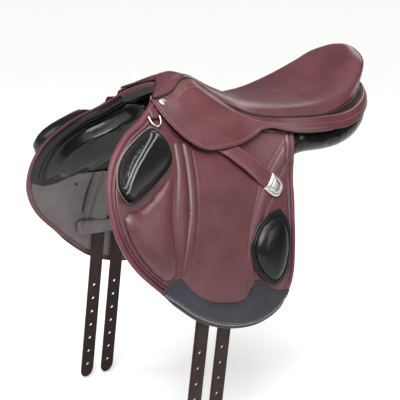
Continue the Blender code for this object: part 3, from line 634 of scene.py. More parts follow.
def panel_rings():
    """Sections of the left panel from front to rear, each with its y."""
    for y, top, low, thick in PANEL_FRONT:
        z = np.linspace(top, low, 4)
        x = side_x(y, z, PANEL_BACK)
        outer = [(x[0] - 3, top)] + list(zip(x, z))
        top_in = (x[0] - thick * 0.35, top - 2)
        yield y, panel_section(outer, top_in, (x[-1] - 4, low - 1), thick * 0.55)
    for y, top, low, thick, gullet_x, gullet_z in PANEL_MIDDLE:
        z = np.linspace(top, low, 4)
        x = side_x(y, z, PANEL_BACK)
        outer = [(gullet_x, gullet_z)] + list(zip(x, z))
        yield y, panel_section(outer, (gullet_x, gullet_z - thick), (x[-1] - 4, low - 1), 6.5)
    for y, wide, top, low, thick, gullet_x, gullet_z in PANEL_REAR:
        deep = top - low
        outer = [(gullet_x, gullet_z), (wide - 18, top), (wide - 3, top - deep * 0.33),
                 (wide, top - deep * 0.66), (wide - 9, low + deep * 0.08)]
        yield y, panel_section(outer, (gullet_x, gullet_z - thick * 0.8), (wide - 15, low), 5.5)


def panel_relief(co):
    """Creases of a panel's front face, and its border sunk below the leather sheet that faces it."""
    yz = co[:, 1:]
    y, z = yz[:, 0], yz[:, 1]
    rim = FLAP_EDGE[(FLAP_EDGE[:, 0] < -196) & (FLAP_EDGE[:, 1] > -50)]
    inner = smooth((side_x(y, z) - co[:, 0] - 12.0) / 8.0) * (y < -110)
    low = np.interp(y, *PANEL_LOW)
    fold = smooth(1.0 - (z - low) / 34.0) * np.sin((y * 0.95 - z * 0.5) / 6.0)
    co = co.copy()
    co[:, 0] -= inner * 4.6 * fold
    sunk = side_x(y, z, -10.2) - 34.0 * smooth((away(rim[::4], yz) - 26.0) / 26.0)
    faced = (z >= low + 6.0) & (y <= -150)
    co[:, 0] = np.where(faced, np.maximum(co[:, 0], sunk), co[:, 0])
    return co


def panels():
    """Stuffed panels, each with the sheet that faces its front border and the cords sewn along that sheet."""
    stack = np.array([np.column_stack([r[:, 0], np.full(len(r), y), r[:, 1]]) for y, r in panel_rings()])
    rings = through(stack.reshape(len(stack), -1), steps=5).reshape(-1, PANEL_POINTS, 3)
    last = (len(rings) - 1) * PANEL_POINTS
    faces = grid_faces(len(rings), PANEL_POINTS, wrap=True)
    faces += [tuple(range(PANEL_POINTS)), tuple(range(last, last + PANEL_POINTS))]
    panel = new_object("panel", rings.reshape(-1, 3), faces, [PANEL_BLACK])
    panel = subdivided(puffed(panel, 0.0048, 0.004, passes=14))
    shift_points(panel, panel_relief)

    border = inset(FLAP_EDGE, FACING_INSET)[(FLAP_EDGE[:, 0] < -192) & (FLAP_EDGE[:, 1] > -52)]
    border = even(border[np.argsort(-border[:, 1])], 150)
    far = even(through(FACING_END), 150)
    yz = between(border, far, spread(0, 0.008, 0.02, 0.04, 0.07, (0.11, 1.0, 26)))
    d = away(border, yz)
    crease = 1.0 * bell((d - 7.5) / 2.2) + 0.9 * bell((d - 15.0) / 2.2)
    points, faces, _ = strip_solid(on_side(yz, -11.4 - crease + edge_fall(d, 1.3)), on_side(yz, -9.3))
    sheet = new_object("panel_sheet", points, faces, [PANEL_BLACK])
    cords = [tube(on_side(border, -8.0), 2.3, side_normal(border), sides=10)]
    for depth in (11.0, 18.5):
        line = inset(FLAP_EDGE, FACING_INSET + depth)[(FLAP_EDGE[:, 0] < -200) & (FLAP_EDGE[:, 1] > -44)]
        line = even(line[np.argsort(-line[:, 1])], 110)
        at, normal = cast_on(sheet, line, 0.5)
        cords.append(tube(at, 1.0, normal))
    rows_of("panel_cords", cords, BLACK, slot="black_leather")
    pair("panel_facing", sheet, slot="black_leather")
    pair("panel_pad", panel, nodes=["panel_{side}"], slot="black_leather", fill=0.8)


# ---------------------------------------------------------------- blocks

KNEE_BLOCK = [(-213, 70), (-250, 54), (-276, 36), (-290, 16), (-293, -6), (-279, -25), (-250, -14),
              (-221, 2), (-200, 16), (-190, 30), (-190, 50), (-198, 64)]
KNEE_LEAN = (-13.0, 9.0)
KNEE_CREST = [(-214, 68), (-232, 57), (-252, 43), (-270, 28), (-284, 10), (-288, -6)]
CALF_BLOCK = [(-27, -64), (-52, -70), (-78, -86), (-94, -112), (-92, -138), (-78, -162), (-56, -177),
              (-36, -166), (-24, -142), (-17, -112), (-17, -84)]
KNEE_PAD = [(-288, -30), (-270, -28), (-248, -18), (-224, -4), (-206, 6), (-195, 10), (-197, -4), (-204, -20),
            (-213, -50), (-218, -81), (-222, -112), (-230, -134), (-250, -138), (-268, -122), (-285, -99),
            (-298, -68), (-301, -42)]


def cushion(outline, base, height, shoulder, shape=None, steps=14, lean=(0.0, 0.0)):
    """Stuffed form on the left side surface: height over a shoulder that falls to its outline."""
    yz = shrunk(outline, outline.mean(0), steps)
    d = away(outline, yz, closed=True)
    rise = height * np.sqrt(1.0 - (1.0 - np.clip(d / shoulder, 0, 1)) ** 2)
    if shape:
        rise = rise * shape(yz)
    top = on_side(yz, base + 1.5 + rise)
    top[..., 1:] += rise[..., None] / height * np.array(lean)
    points, faces, _ = ringed_solid(top, on_side(yz, base))
    return points, faces


KNEE_HEIGHT = 40.0
PAD_BASE = -2.5
PAD_VOXEL = 0.0036


def knee_wedge(yz):
    """Share of the knee block's height at each point: full along its crest, lower towards the rear."""
    behind = (yz[..., 0] + 213.0) * 0.633 - (yz[..., 1] - 66.0) * 0.774
    crest = 0.06 * bell(away(through(KNEE_CREST), yz) / 8.0)
    return 1.0 - 0.62 * np.clip((behind + 2.0) / 48.0, 0.0, 1.0) + crest


def knee_blocks():
    """Leaning wedges at the front of the flaps, with two cords along each crest, grey as painted highlight."""
    edge = outline_of(KNEE_BLOCK, [], 120)
    form = cushion(inset(edge, 3.0), PAD_BASE, KNEE_HEIGHT, 10.0, knee_wedge, 30, KNEE_LEAN)
    knee = subdivided(puffed(new_object("knee", *form, [BLACK]), PAD_VOXEL, 0.003, passes=7))
    cords = []
    for shift in (6.5, 11.5):
        line = through(KNEE_CREST) + np.array(KNEE_LEAN) + np.array([0.63, -0.77]) * shift
        at, normal = cast_on(knee, even(line, 60)[1:-1], 0.5, 400.0, -1.0)
        cords.append(tube(at, 1.6, normal))
    # Grey cords: painted highlight on the black crest ridges.
    rows_of("knee_block_cords", cords, BLACK_EDGE_AND_HIGHLIGHT, slot="black_leather")
    points, faces, cut = leather_sheet(edge, 1.2, 3.0, steps=6)
    flange = new_object("knee_flange", points, faces, [BLACK, BLACK_EDGE_AND_HIGHLIGHT], cut)
    pair("knee_block_flange", flange, slot="black_leather")
    row = even(inset(edge, 2.6), 200, closed=True)
    rows_of("knee_block_stitches", [stitches(on_side(row, 3.1), side_normal(row), 0.4)], DARK_THREAD,
            slot="black_leather")
    pair("knee_block_pad", knee, nodes=["knee_block_{side}"], slot="black_leather", fill=0.9)


def calf_blocks():
    """Rounded blocks at the rear edge of the flaps, each in a sewn flange with piping."""
    edge = outline_of(CALF_BLOCK, [0], 120)
    calf = new_object("calf", *cushion(inset(edge, 4.6), PAD_BASE, 15.5, 24.0), [BLACK])
    calf = subdivided(puffed(calf, PAD_VOXEL, 0.003, passes=5))
    points, faces, _ = leather_sheet(edge, 2.9, 4.6, steps=6)
    how = {"body": "flap_{side}", "slot": "black_leather"}
    pair("calf_block_flange", new_object("calf_flange", points, faces, [BLACK]), **how)
    ring = inset(edge, 5.2)
    piping = tube(on_side(ring, 5.0), 1.4, side_normal(ring), closed=True)
    rows_of("calf_block_piping", [piping], BLACK, **how)
    row = inset(edge, 2.4)
    rows_of("calf_block_stitches", [stitches(on_side(row, 4.7), side_normal(row), 0.4)], DARK_THREAD, **how)
    pair("calf_block_pad", calf, nodes=["calf_block_{side}"], fill=0.9, **how)


def knee_pads():
    """Padded rolls in the flap leather below the knee blocks."""
    form = cushion(outline_of(KNEE_PAD, [], 110), -3.2, 10.5, 34.0)
    roll = subdivided(puffed(new_object("knee_roll", *form, [BURGUNDY]), PAD_VOXEL, 0.002, passes=5))
    pair("knee_roll_pad", roll, bend=FLAP_BEND, nodes=["knee_pad_{side}"], slot="burgundy_leather", fill=0.7)


# ---------------------------------------------------------------- flaps

FRONT_FOLD = [(-174, 40), (-181, 10), (-191, -20), (-201, -51), (-209, -82), (-217, -114), (-224, -134)]
FRONT_CREASE = [(-167, 40), (-173, 9), (-180, -22), (-189, -53), (-201, -84), (-213, -115), (-219, -134)]
FRONT_ROLL = [(-160, 40), (-166, 8), (-173, -23), (-182, -54), (-194, -85), (-206, -116), (-214, -138)]
FRONT_ROW = [(-153, 40), (-158, 7), (-166, -24), (-175, -55), (-186, -86), (-198, -117), (-208, -143)]
REAR_SEAM = [(8, 33), (-27, -2), (-52, -27), (-74, -62), (-90, -93), (-103, -143), (-103, -184)]
REAR_ROLL = [(21, 28), (-15, -8), (-43, -37), (-65, -68), (-82, -96), (-96, -135), (-98, -168)]
REAR_ROW = [(31, 23), (-5, -13), (-33, -46), (-55, -70), (-66, -84)]
PATCH_TOP = [(-256, -151), (-248, -145), (-238, -140), (-224, -136), (-217, -139), (-210, -149), (-203, -158),
             (-184, -174), (-158, -185), (-132, -190), (-112, -190), (-104, -185), (-99, -175), (-94, -166),
             (-84, -164), (-76, -169), (-64, -179), (-46, -188), (-27, -190)]
PATCH_LOW = [(-255, -152), (-229, -174), (-201, -197), (-166, -216.5), (-130, -227.5), (-92, -230.5),
             (-60, -221.5), (-36, -204), (-28, -194)]


def roll_shape(distance, width, height):
    """Half round ridge over a seam."""
    return height * np.sqrt(np.clip(1.0 - (distance / width) ** 2, 0, 1))


def flap_lift(yz):
    """Height of the rolled rim and of the sewn folds above a flap's face."""
    y, z = yz[..., 0], yz[..., 1]
    d = away(FLAP_EDGE[::3], yz, closed=True)
    under_patch = smooth((-144.0 - z) / 10.0) * smooth((-20.0 - y) / 10.0)
    rim = roll_shape(d - 3.3, 3.3, 2.1) + roll_shape(d - 9.7, 2.0, 1.5) - 0.7 * bell((d - 7.1) / 0.8)
    rim -= 0.8 * bell((d - 12.6) / 1.0)

    def off(line):
        return away(through(line), yz)
    wide = 6.4 * np.interp(z, [-134, -114, -82, -50, 10], [0.45, 0.6, 1.1, 1.5, 1.05])
    front = (roll_shape(off(FRONT_FOLD), wide, 2.2) + roll_shape(off(FRONT_ROLL), 6.2, 2.6)
             - 0.8 * bell(off(FRONT_CREASE) / 1.0) - 0.8 * bell(off(FRONT_ROW) / 1.0))
    rear = (roll_shape(off(REAR_ROLL), 6.6, 2.0) - 1.0 * bell(off(REAR_SEAM) / 1.2)
            - 0.9 * bell(off(REAR_ROW) / 1.2))
    folds = front * smooth((z + 146.0) / 14.0) + rear * smooth((z + 186.0) / 12.0)
    return rim * (1.0 - under_patch) + folds * smooth((d - 12.0) / 5.0)


def row_on_flap(line, count, off):
    """Dense smooth line on a flap's face with its normals."""
    path = even(through(line), count)
    return on_side(path, flap_lift(path) + off), side_normal(path)


# Rings of a flap's sheet over its rim, close together so that the rolls and grooves keep their shape, and the
# bands of rings with a colour of their own, a lighter one on the rolls as painted highlight and a near-black one
# in the grooves as painted shade: first, last and material number.
RIM_DEPTHS = (0, 0.4, 0.9, 1.6, 2.4, 3.2, 4.0, 4.8, 5.5, 6.1, 6.6, 7.1, 7.6, 8.1, 8.7, 9.2, 9.7, 10.2, 10.7, 11.3,
              12.0, 12.6, 13.2, 14.0)
RIM_LIGHT_AND_SHADE_BANDS = ((2, 9, 2), (9, 12, 3), (12, 19, 2), (19, 22, 3))


def flaps():
    """Flap leather with its rolled rim and sewn folds, its thread, and near-black cords along its creases and
    stitch grooves that are painted shade.
    """
    points, faces, cut = leather_sheet(FLAP_EDGE, -5.0, 0.0, flap_lift, depths=RIM_DEPTHS, steps=90,
                                       centre=(-150.0, -55.0))
    flap = new_object("flap", points, faces, [BURGUNDY, LIT_RIM, LIT_RIM, DARK_WELT_AND_SHADE], cut)
    count = len(FLAP_EDGE)
    index = np.zeros(len(flap.data.polygons), np.int32)
    flap.data.polygons.foreach_get("material_index", index)
    # Lighter bands over the rolls are painted highlight; near-black bands in the grooves are painted shade.
    for first, last, mat in RIM_LIGHT_AND_SHADE_BANDS:
        index[count * first:count * last] = mat
    flap.data.polygons.foreach_set("material_index", index)
    how = {"bend": FLAP_BEND, "slot": "burgundy_leather"}
    pair("flap", flap, nodes=["flap_upper_{side}", "flap_lower_{side}"], **how)
    rows = [stitches(*row_on_flap(line, 200, 0.3)) for line in (FRONT_ROW, REAR_ROW, REAR_SEAM)]
    inner = inset(FLAP_EDGE, 4.4)
    inner = inner[(inner[:, 1] < -60) & (inner[:, 0] < -40)]
    inner = even(inner[np.argsort(inner[:, 0] - inner[:, 1] * 0.5)], 260)
    rows.append(stitches(on_side(inner, -5.2), -side_normal(inner), 0.45))
    rows_of("flap_stitches", rows, THREAD, **how)
    # Near-black cords sunk in the creases and stitch grooves: painted shade.
    creases = [tube(row_on_flap(line, 160, -0.1)[0], 0.55, (1, 0, 0), sides=6)
               for line in (FRONT_CREASE, FRONT_ROW, REAR_SEAM, REAR_ROW)]
    rows_of("flap_creases", creases, DARK_WELT_AND_SHADE, **how)


def patches():
    """Slate leather along the flaps' lower edges, with its binding, bead and thread."""
    how = {"body": "flap_{side}", "slot": "slate_leather"}
    upper, lower = even(through(PATCH_TOP), 240), even(through(PATCH_LOW), 240)
    yz = between(upper, lower, spread(0, 0.01, 0.025, 0.05, (0.1, 0.9, 20), 0.95, 0.975, 0.99, 1))
    d = away(np.vstack([upper, lower[::-1]])[::2], yz, closed=True)
    groove = 0.5 * bell((d - 3.2) / 1.0)
    points, faces, _ = strip_solid(on_side(yz, 2.6 - edge_fall(d, 1.2) - groove), on_side(yz, 0.4))
    pair("flap_patch_sheet", new_object("patch", points, faces, [SLATE]), nodes=["flap_patch_{side}"], **how)
    hem = FLAP_EDGE[(FLAP_EDGE[:, 1] < -152.0) & (FLAP_EDGE[:, 0] < -26.0)]
    hem = even(hem[np.argsort(hem[:, 0])], 200)
    from_end = np.minimum(np.arange(200), np.arange(200)[::-1])
    thick = 0.4 + 2.2 * smooth(from_end / 22.0)
    rows_of("flap_patch_binding", [tube(on_side(hem, -2.4), thick, side_normal(hem), sides=12)], SLATE, **how)
    bead = lower[4:-4] + np.array([0.4, 1.6])
    row = lower[6:-6] + np.array([1.4, 4.2])
    trim = [tube(on_side(bead, 2.0), 0.8, side_normal(bead)),
            stitches(on_side(row, 2.6), side_normal(row), 0.36)]
    rows_of("flap_patch_trim", trim, PALE_THREAD, **how)
    row = upper[6:-6] + np.array([0.0, -2.8])
    rows_of("flap_patch_stitches", [stitches(on_side(row, 2.3), side_normal(row), 0.4)], DARK_THREAD, **how)


# ---------------------------------------------------------------- lining and girth straps

HOLES = 7
FIRST_HOLE = 97.0
PITCH = 25.4
HOLE_RADIUS = 2.6
HOLE_LIP = 0.35
STRAP_TAIL = 24.0
STRAP_HALF_THICK = 1.8
STRAP_BACK = -11.2
# Rows of points in one pitch, and the points across a strap with how far each lies below its face.
PITCH_ROWS = 12
STRAP_ACROSS = np.array([-12.5, -12.1, -11.3, -10.7, -10.1, -8.3, -6.25, -4.17, -2.08, 0.0, 2.08, 4.17, 6.25, 8.3,
                         10.1, 10.7, 11.3, 12.1, 12.5])
STRAP_RELIEF = np.array([0.9, 0.3, 0, 0.45, 0, 0, 0, 0, 0, 0, 0, 0, 0, 0, 0, 0.45, 0, 0.3, 0.9])
HOLE_COLUMN = 9
STRAP_AT = {"front": -173.0, "rear": -132.0}


EYELETS = ((-224.0, -66.0), (-247.0, -92.0))


def lining_folds(yz):
    """Height of the creases and ripples of a flap's lining, and of the dents round its eyelets."""
    y, z = yz[..., 0], yz[..., 1]

    def off(*line):
        return away(np.array(line), yz)
    creases = (3.2 * bell(off((-252.0, -146.0), (-208.0, -132.0)) / 9.0)
               + 2.4 * bell(off((-236.0, -60.0), (-232.0, -120.0)) / 10.0))
    dents = np.minimum(*[off((at_y, at_z), (at_y, at_z - 0.5)) for at_y, at_z in EYELETS])
    return -creases + 1.6 * bell(dents / 1.8) + 0.9 * np.sin(y / 15.0 + z / 22.0)


def lining():
    """Grey lining on the inside of the flaps, with its two eyelets."""
    path = inset(FLAP_EDGE, 7.5)
    path = path[path[:, 1] < -45.5]
    edge = even(np.vstack([path, path[:1]]), 300, closed=True)
    yz = shrunk(edge, np.array([-150.0, -120.0]), 44)
    points, faces, _ = ringed_solid(on_side(yz[::6], -5.7), on_side(yz, -8.7 + lining_folds(yz)))
    obj = new_object("lining", points, faces, [GREY])
    pair("flap_lining_sheet", obj, bend=FLAP_BEND, nodes=["flap_lining_{side}"], slot="grey_lining")
    parts = []
    a = np.linspace(0, 2 * np.pi, 20, endpoint=False)
    for y, z in EYELETS:
        ring = np.stack([y + 2.0 * np.cos(a), z + 2.0 * np.sin(a)], 1)
        parts.append(tube(on_side(ring, -8.6), 0.45, side_normal(ring), closed=True))
        disc = np.vstack([on_side(ring, -8.2), on_side(ring, -7.9)])
        parts.append((disc, [tuple(range(20)), tuple(range(39, 19, -1))]
                      + [(j, (j + 1) % 20, 20 + (j + 1) % 20, 20 + j) for j in range(20)]))
    rows_of("lining_eyelets", parts, BROWN, "flap_{side}", slot="grey_lining")


def strap_line(hinge_y, z):
    """Middle of a girth strap at a height on the flap."""
    return hinge_y + (z - STRAP_HINGE_Z) * math.tan(STRAP_LEAN) * 0.9


# Borders of the guards: z, front y and rear y.
GUARD_AT = {"front": [(-48, -194, -147), (-95, -203, -153), (-140, -211, -159)],
            "rear": [(-48, -140, -104), (-95, -143, -110), (-140, -149, -117)]}


GUARD_SHARE = [0, 0.03, 0.07, 0.12, 0.2, 0.3, 0.4, 0.5, 0.6, 0.7, 0.8, 0.88, 0.93, 0.97, 1.0]
GUIDE_OUTLINE = [(-214, -137), (-180, -140), (-140, -143), (-118, -146), (-114, -155), (-118, -165), (-150, -167),
                 (-190, -166), (-211, -164), (-217, -151)]
GUIDE_DEPTH = 17.0


def guard_high(hinge_y, y, z):
    """How far a guard's face stands inside the side surface."""
    reach = np.abs(y - strap_line(hinge_y, z))
    return 9.6 + 5.0 * smooth((17.0 - reach) / 4.0) + 0.35 * np.sin(z / 5.0 + y / 9.0)


def guard(place, hinge_y):
    """Guard sewn over the upper end of a strap, and its rows of thread and cord."""
    z = np.linspace(-47.0, -143.0, 44)
    table = np.array(GUARD_AT[place], float)[::-1]
    borders = [np.stack([np.interp(z, table[:, 0], table[:, k]), z], 1) for k in (1, 2)]
    yz = between(*borders, GUARD_SHARE)
    high = guard_high(hinge_y, yz[..., 0], yz[..., 1])
    points, faces, _ = strip_solid(on_side(yz, -high), on_side(yz, 0.6 - high))
    rows = []
    for border, shift in ((0, 1.5), (1, -1.5), (0, 9.0), (0, 12.0)):
        line = borders[border] + np.array([shift, 0.0])
        deep = np.interp(np.abs(line[:, 0] - strap_line(hinge_y, z)), [13.0, 17.0], [14.7, 9.8])
        rows.append(stitches(on_side(line, -deep), -side_normal(line), 0.6))
    rows += [tube(on_side(line, -9.3), 0.9, side_normal(line)) for line in borders]
    return (points, faces), rows


def diagonal_guard():
    """Leather strip over the front guard, running down to the band, and its four rows of thread."""
    z = np.linspace(-46.0, -160.0, 50)
    borders = [np.stack([np.interp(z, [-160.0, -146.0, -46.0], at), z], 1)
               for at in ([-200.0, -209.0, -194.0], [-198.0, -192.0, -171.0])]

    def high(yz):
        y, z = yz[..., 0], yz[..., 1]
        return np.maximum(guard_high(STRAP_AT["front"], y, z), np.where(z < -137.0, GUIDE_DEPTH, 0.0))
    yz = between(*borders, GUARD_SHARE)
    points, faces, _ = strip_solid(on_side(yz, -high(yz) - 1.8), on_side(yz, -high(yz) - 0.1))
    rows = []
    for border, shift in ((0, 1.6), (0, 5.0), (1, -1.6), (1, -5.0)):
        line = (borders[border] + np.array([shift, 0.0]))[:44]
        rows.append(stitches(on_side(line, -high(line) - 2.0), -side_normal(line), 0.6))
    return (points, faces), rows


def channels():
    """Grey leather guards sewn over the upper ends of the straps, and the band the straps come out of."""
    made = [guard(place, hinge_y) for place, hinge_y in STRAP_AT.items()] + [diagonal_guard()]
    rows_of("strap_channels", [sheet for sheet, _ in made], GREY, bend=FLAP_BEND, slot="grey_lining")
    how = {"body": "flap_{side}", "slot": "grey_lining"}
    edge = outline_of(GUIDE_OUTLINE, [], 150)
    yz = shrunk(edge, edge.mean(0), 12)
    d = away(edge[::2], yz, closed=True)
    face = on_side(yz, -16.9 + 1.4 * bell(d / 1.2) + 0.5 * bell((d - 4.0) / 1.2))
    points, faces, _ = ringed_solid(on_side(yz, -14.9), face)
    pair("strap_guide_band", new_object("guide", points, faces, [GREY]), nodes=["strap_guide_{side}"], **how)
    ring = inset(edge, 4.0)
    sewn = stitches(on_side(ring, -16.7), -side_normal(ring), 0.45)
    rows_of("strap_guide_stitches", [sewn], PALE_THREAD, **how)
    rows = [row for _, thread in made for row in thread]
    rows_of("strap_channel_stitches", rows, DARK_THREAD, bend=FLAP_BEND, slot="grey_lining")


def strap_rows():
    """Places of a strap's rows of points below its hinge: above it, then down to its end."""
    end = FIRST_HOLE + PITCH * (HOLES - 1) + STRAP_TAIL
    cell = PITCH / PITCH_ROWS
    down = FIRST_HOLE + cell * np.arange(-50, int((end - FIRST_HOLE) / cell) + 1)
    return np.concatenate([-np.linspace(109.0, 12.0, 24), down[down > -9.0], [end]])


def strap_grid(hinge_y, down):
    """Middle surface of a strap: x, y and z of its points, flat below the hinge and on the flap above it."""
    end = down[-1]
    width = np.sqrt(np.clip(1.0 - (np.clip(down - (end - 15.0), 0, 15) / 15.2) ** 2, 0.0, 1.0)) ** 0.85
    z = np.where(down > 0, STRAP_HINGE_Z - down * math.cos(STRAP_LEAN), STRAP_HINGE_Z - down)
    y = np.where(down > 0, hinge_y - down * math.sin(STRAP_LEAN), strap_line(hinge_y, z))
    lean = (math.sin(STRAP_LEAN) * (down > 0))[:, None]
    y = y[:, None] + STRAP_ACROSS[None] * width[:, None]
    z = z[:, None] + STRAP_ACROSS[None] * width[:, None] * lean
    flat = smooth((down + 16.0) / 18.0)[:, None]
    x = side_x(y, z, STRAP_BACK) * (1.0 - flat) + side_x(hinge_y, STRAP_HINGE_Z, STRAP_BACK) * flat
    return x, y, z


def punched(points, down, r, start):
    """Points and faces of a round hole at row r, through both faces of a strap, numbered from start."""
    cols, half = len(STRAP_ACROSS), len(points) // 2
    low, high = HOLE_COLUMN - 2, HOLE_COLUMN + 2
    ring = ([(r - 2, low + k) for k in range(4)] + [(r - 2 + k, high) for k in range(4)]
            + [(r + 2, high - k) for k in range(4)] + [(r + 2 - k, low) for k in range(4)])
    count = len(ring)
    rim, faces = [], []
    for level in (0, 1):
        for i, j in ring:
            a = math.atan2(STRAP_ACROSS[j], down[i] - down[r])
            dy, dz = HOLE_RADIUS * math.sin(a), -HOLE_RADIUS * math.cos(a)
            rim.append(points[r * cols + HOLE_COLUMN + level * half]
                       + np.array([(-HOLE_LIP, HOLE_LIP)[level],
                                   dy * math.cos(STRAP_LEAN) + dz * math.sin(STRAP_LEAN),
                                   dz * math.cos(STRAP_LEAN) + dy * math.sin(STRAP_LEAN)]))
    for k in range(count):
        n = (k + 1) % count
        a, b = ring[k][0] * cols + ring[k][1], ring[n][0] * cols + ring[n][1]
        inner = start + k, start + n, start + count + n, start + count + k
        faces += [(a, b, inner[1], inner[0]), (b + half, a + half, inner[3], inner[2]), inner]
    return rim, faces


def girth_strap(place, hinge_y):
    """One long strap: its upper end on the flap and its hanging end with the punched holes."""
    down = strap_rows()
    x, y, z = strap_grid(hinge_y, down)
    rows, cols = x.shape
    first = int(np.argmin(np.abs(down - FIRST_HOLE)))
    holes = [first + PITCH_ROWS * k for k in range(HOLES)]
    open_rows = {i for r in holes for i in range(r - 2, r + 2)}
    open_cols = range(HOLE_COLUMN - 2, HOLE_COLUMN + 2)
    kept = [k for k in range((rows - 1) * (cols - 1))
            if k // (cols - 1) not in open_rows or k % (cols - 1) not in open_cols]
    points, faces = [], []
    for side, start in ((1.0, 0), (-1.0, rows * cols)):
        points.append(np.stack([x + side * (STRAP_HALF_THICK - STRAP_RELIEF[None]), y, z], -1).reshape(-1, 3))
        quads = grid_faces(rows, cols, start=start)
        faces += [quads[k] if side > 0 else quads[k][::-1] for k in kept]
    points = np.vstack(points)
    rims = []
    for r in holes:
        rim, cut = punched(points, down, r, len(points) + len(rims))
        rims += rim
        faces += cut
    wall = grid_wall(rows, cols)
    edge = range(len(faces), len(faces) + len(wall))
    obj = new_object("girth", np.vstack([points, rims]), faces + wall, [BROWN, BROWN_EDGE], edge)
    hinge = np.array([side_x(hinge_y, STRAP_HINGE_Z, STRAP_BACK), hinge_y, STRAP_HINGE_Z])
    pair("strap_" + place, obj, bend=bend_over("flap_{side}", "strap_%s_{side}" % place, hinge),
         slot="strap_leather", nodes=["strap_top_%s_{side}" % place, "girth_strap_%s_{side}" % place])


# ---------------------------------------------------------------- seat

# Lines across the left half of the seat, from the pommel nose back to the cantle: spine first, welt last.
SEAT = [
    [(0, -108, 134), (0, -116, 136), (0, -127, 137), (0, -143, 136), (0, -152, 130)],
    [(0, -107, 134), (8, -116, 135), (16, -129, 134), (23, -148, 130), (29, -168, 121)],
    [(0, -106, 133.5), (13, -118, 134), (26, -136, 130), (38, -160, 122), (51, -186, 111)],
    [(0, -105, 133), (14, -114, 133), (28, -127, 130), (40, -142, 123), (48, -156, 114)],
    [(0, -103, 132.5), (9, -108, 133.5), (18, -114, 134.5), (27, -121, 134), (34, -127, 130)],
    [(0, -97, 130.5), (9, -100, 131.5), (17, -104, 133), (25, -107, 133), (32, -109, 130)],
    [(0, -88, 126), (13, -91, 127), (25, -93, 126), (36, -95, 124), (44, -96, 118)],
    [(0, -65, 114), (17, -68, 114), (34, -71, 112), (51, -74, 107), (63, -75, 98)],
    [(0, -38, 102), (22, -42, 102), (43, -46, 100), (63, -50, 94), (78, -52, 85)],
    [(0, -8, 91), (26, -12, 90), (52, -17, 89), (75, -22, 83), (91, -25, 74)],
    [(0, 35, 84), (34, 34, 85), (66, 32, 84), (94, 30, 79), (110, 29, 68)],
    [(0, 80, 85), (42, 84, 86), (80, 88, 86), (110, 92, 82), (124, 95, 68)],
    [(0, 112, 89), (42, 125, 93), (80, 138, 101), (106, 145, 98), (118, 139, 79)],
    [(0, 125, 93), (36, 150, 104), (66, 178, 124), (90, 190, 120), (100, 175, 88)],
    [(0, 131, 95), (28, 160, 108), (50, 198, 142), (70, 218, 137), (76, 204, 98)],
    [(0, 135, 97), (14, 167, 112), (26, 218, 156), (36, 243, 141), (38, 228, 103)],
    [(0, 137, 98), (0, 170, 113), (0, 226, 160), (0, 252, 142), (0, 236, 105)],
]


def without_repeats(line):
    """Line without the points that lie on the one before."""
    keep = np.ones(len(line), bool)
    keep[1:] = np.linalg.norm(np.diff(line, axis=0), axis=1) > 0.4
    return line[keep]


MIRROR = np.array([-1.0, 1.0, 1.0])


def seat_surface():
    """Left half of the seat as a grid of points, pommel to cantle and spine to welt."""
    rows = np.array(SEAT, float)
    across = np.stack([through(r, steps=8) for r in rows])
    return np.moveaxis(np.stack([through(across[:, k], steps=6) for k in range(across.shape[1])]), 0, 1)


def seat():
    """Seat cushion over its bed, and the dark welt round its edge."""
    half = seat_surface()
    rows, cols = half.shape[:2]
    half[..., 0] = np.maximum(half[..., 0], 0.0)
    spine, edge = half[:, :1], half[:, -1:]
    w = np.linspace(0, 1, cols)[None, :, None] * 0.93
    bed = spine + (edge - spine) * w
    depth = 8.0 + 14.0 * smooth(np.linspace(0, 1, rows) * 3.0)
    bed[..., 2] = (spine[..., 2] - depth[:, None]) * (1 - w[..., 0]) + (edge[..., 2] - 5.0) * w[..., 0]
    full, low = [np.concatenate([grid[:, :0:-1] * MIRROR, grid], 1) for grid in (half, bed)]
    wide = full.shape[1]
    faces = grid_faces(rows, wide) + [f[::-1] for f in grid_faces(rows, wide, start=rows * wide)]
    faces += grid_wall(rows, wide, ends=False)
    points = np.vstack([full.reshape(-1, 3), low.reshape(-1, 3)])
    obj = subdivided(new_object("seat_cushion", points, faces, [SEAT_LEATHER]))
    attach(obj, "left", "root", nodes=["seat_cover"], slot="burgundy_leather", fill=0.9)
    rim = even(without_repeats(half[:, -1]), 260)
    loop = np.vstack([rim, rim[-2:0:-1] * MIRROR])
    out = (loop - np.array([0.0, 40.0, 0.0])) * np.array([1.0, 1.0, 0.0])
    cord = tube(loop + unit(out) * 0.8 - np.array([0, 0, 1.2]), 2.1, (0, 0, 1), closed=True)
    attach(new_object("seat_welt", *cord, [DARK_WELT_AND_SHADE]), "left", "root", slot="burgundy_leather")


# ---------------------------------------------------------------- skirts and cantle band

SKIRT_TOP = [(-188, 110), (-172, 112), (-154, 113), (-140, 121), (-127, 128.5), (-118, 129.5), (-108, 128.5),
             (-99, 118), (-84, 105), (-70, 94), (-56, 84), (-40, 77), (-25, 72), (0, 67.5), (29, 65.5),
             (62, 65), (95, 65.5)]
SKIRT_ROW = [(-186, 105), (-172, 107), (-154, 107), (-138, 113), (-124, 119), (-110, 118), (-97, 107), (-84, 95),
             (-66, 83), (-45, 71), (-20, 62.5), (10, 58.5), (50, 56.5), (92, 56)]
SKIRT_EDGE = [(95, 45.5), (62, 44.5), (38, 45), (14, 48), (-6, 53), (-18, 53), (-27, 51), (-42, 44), (-70, 36),
              (-100, 33), (-125, 33), (-142, 37), (-160, 48), (-176, 66), (-186, 86), (-192, 106)]


SKIRT_OUT = 15.0
SKIRT_THICK = 3.6


def skirt_puff(yz):
    """How far a skirt stands out over the stirrup bar."""
    y, z = yz[..., 0], yz[..., 1]
    return 5.0 * smooth(1.0 - np.abs(z - 60.0) / 20.0) * smooth(1.0 - np.abs(y + 112.0) / 62.0)


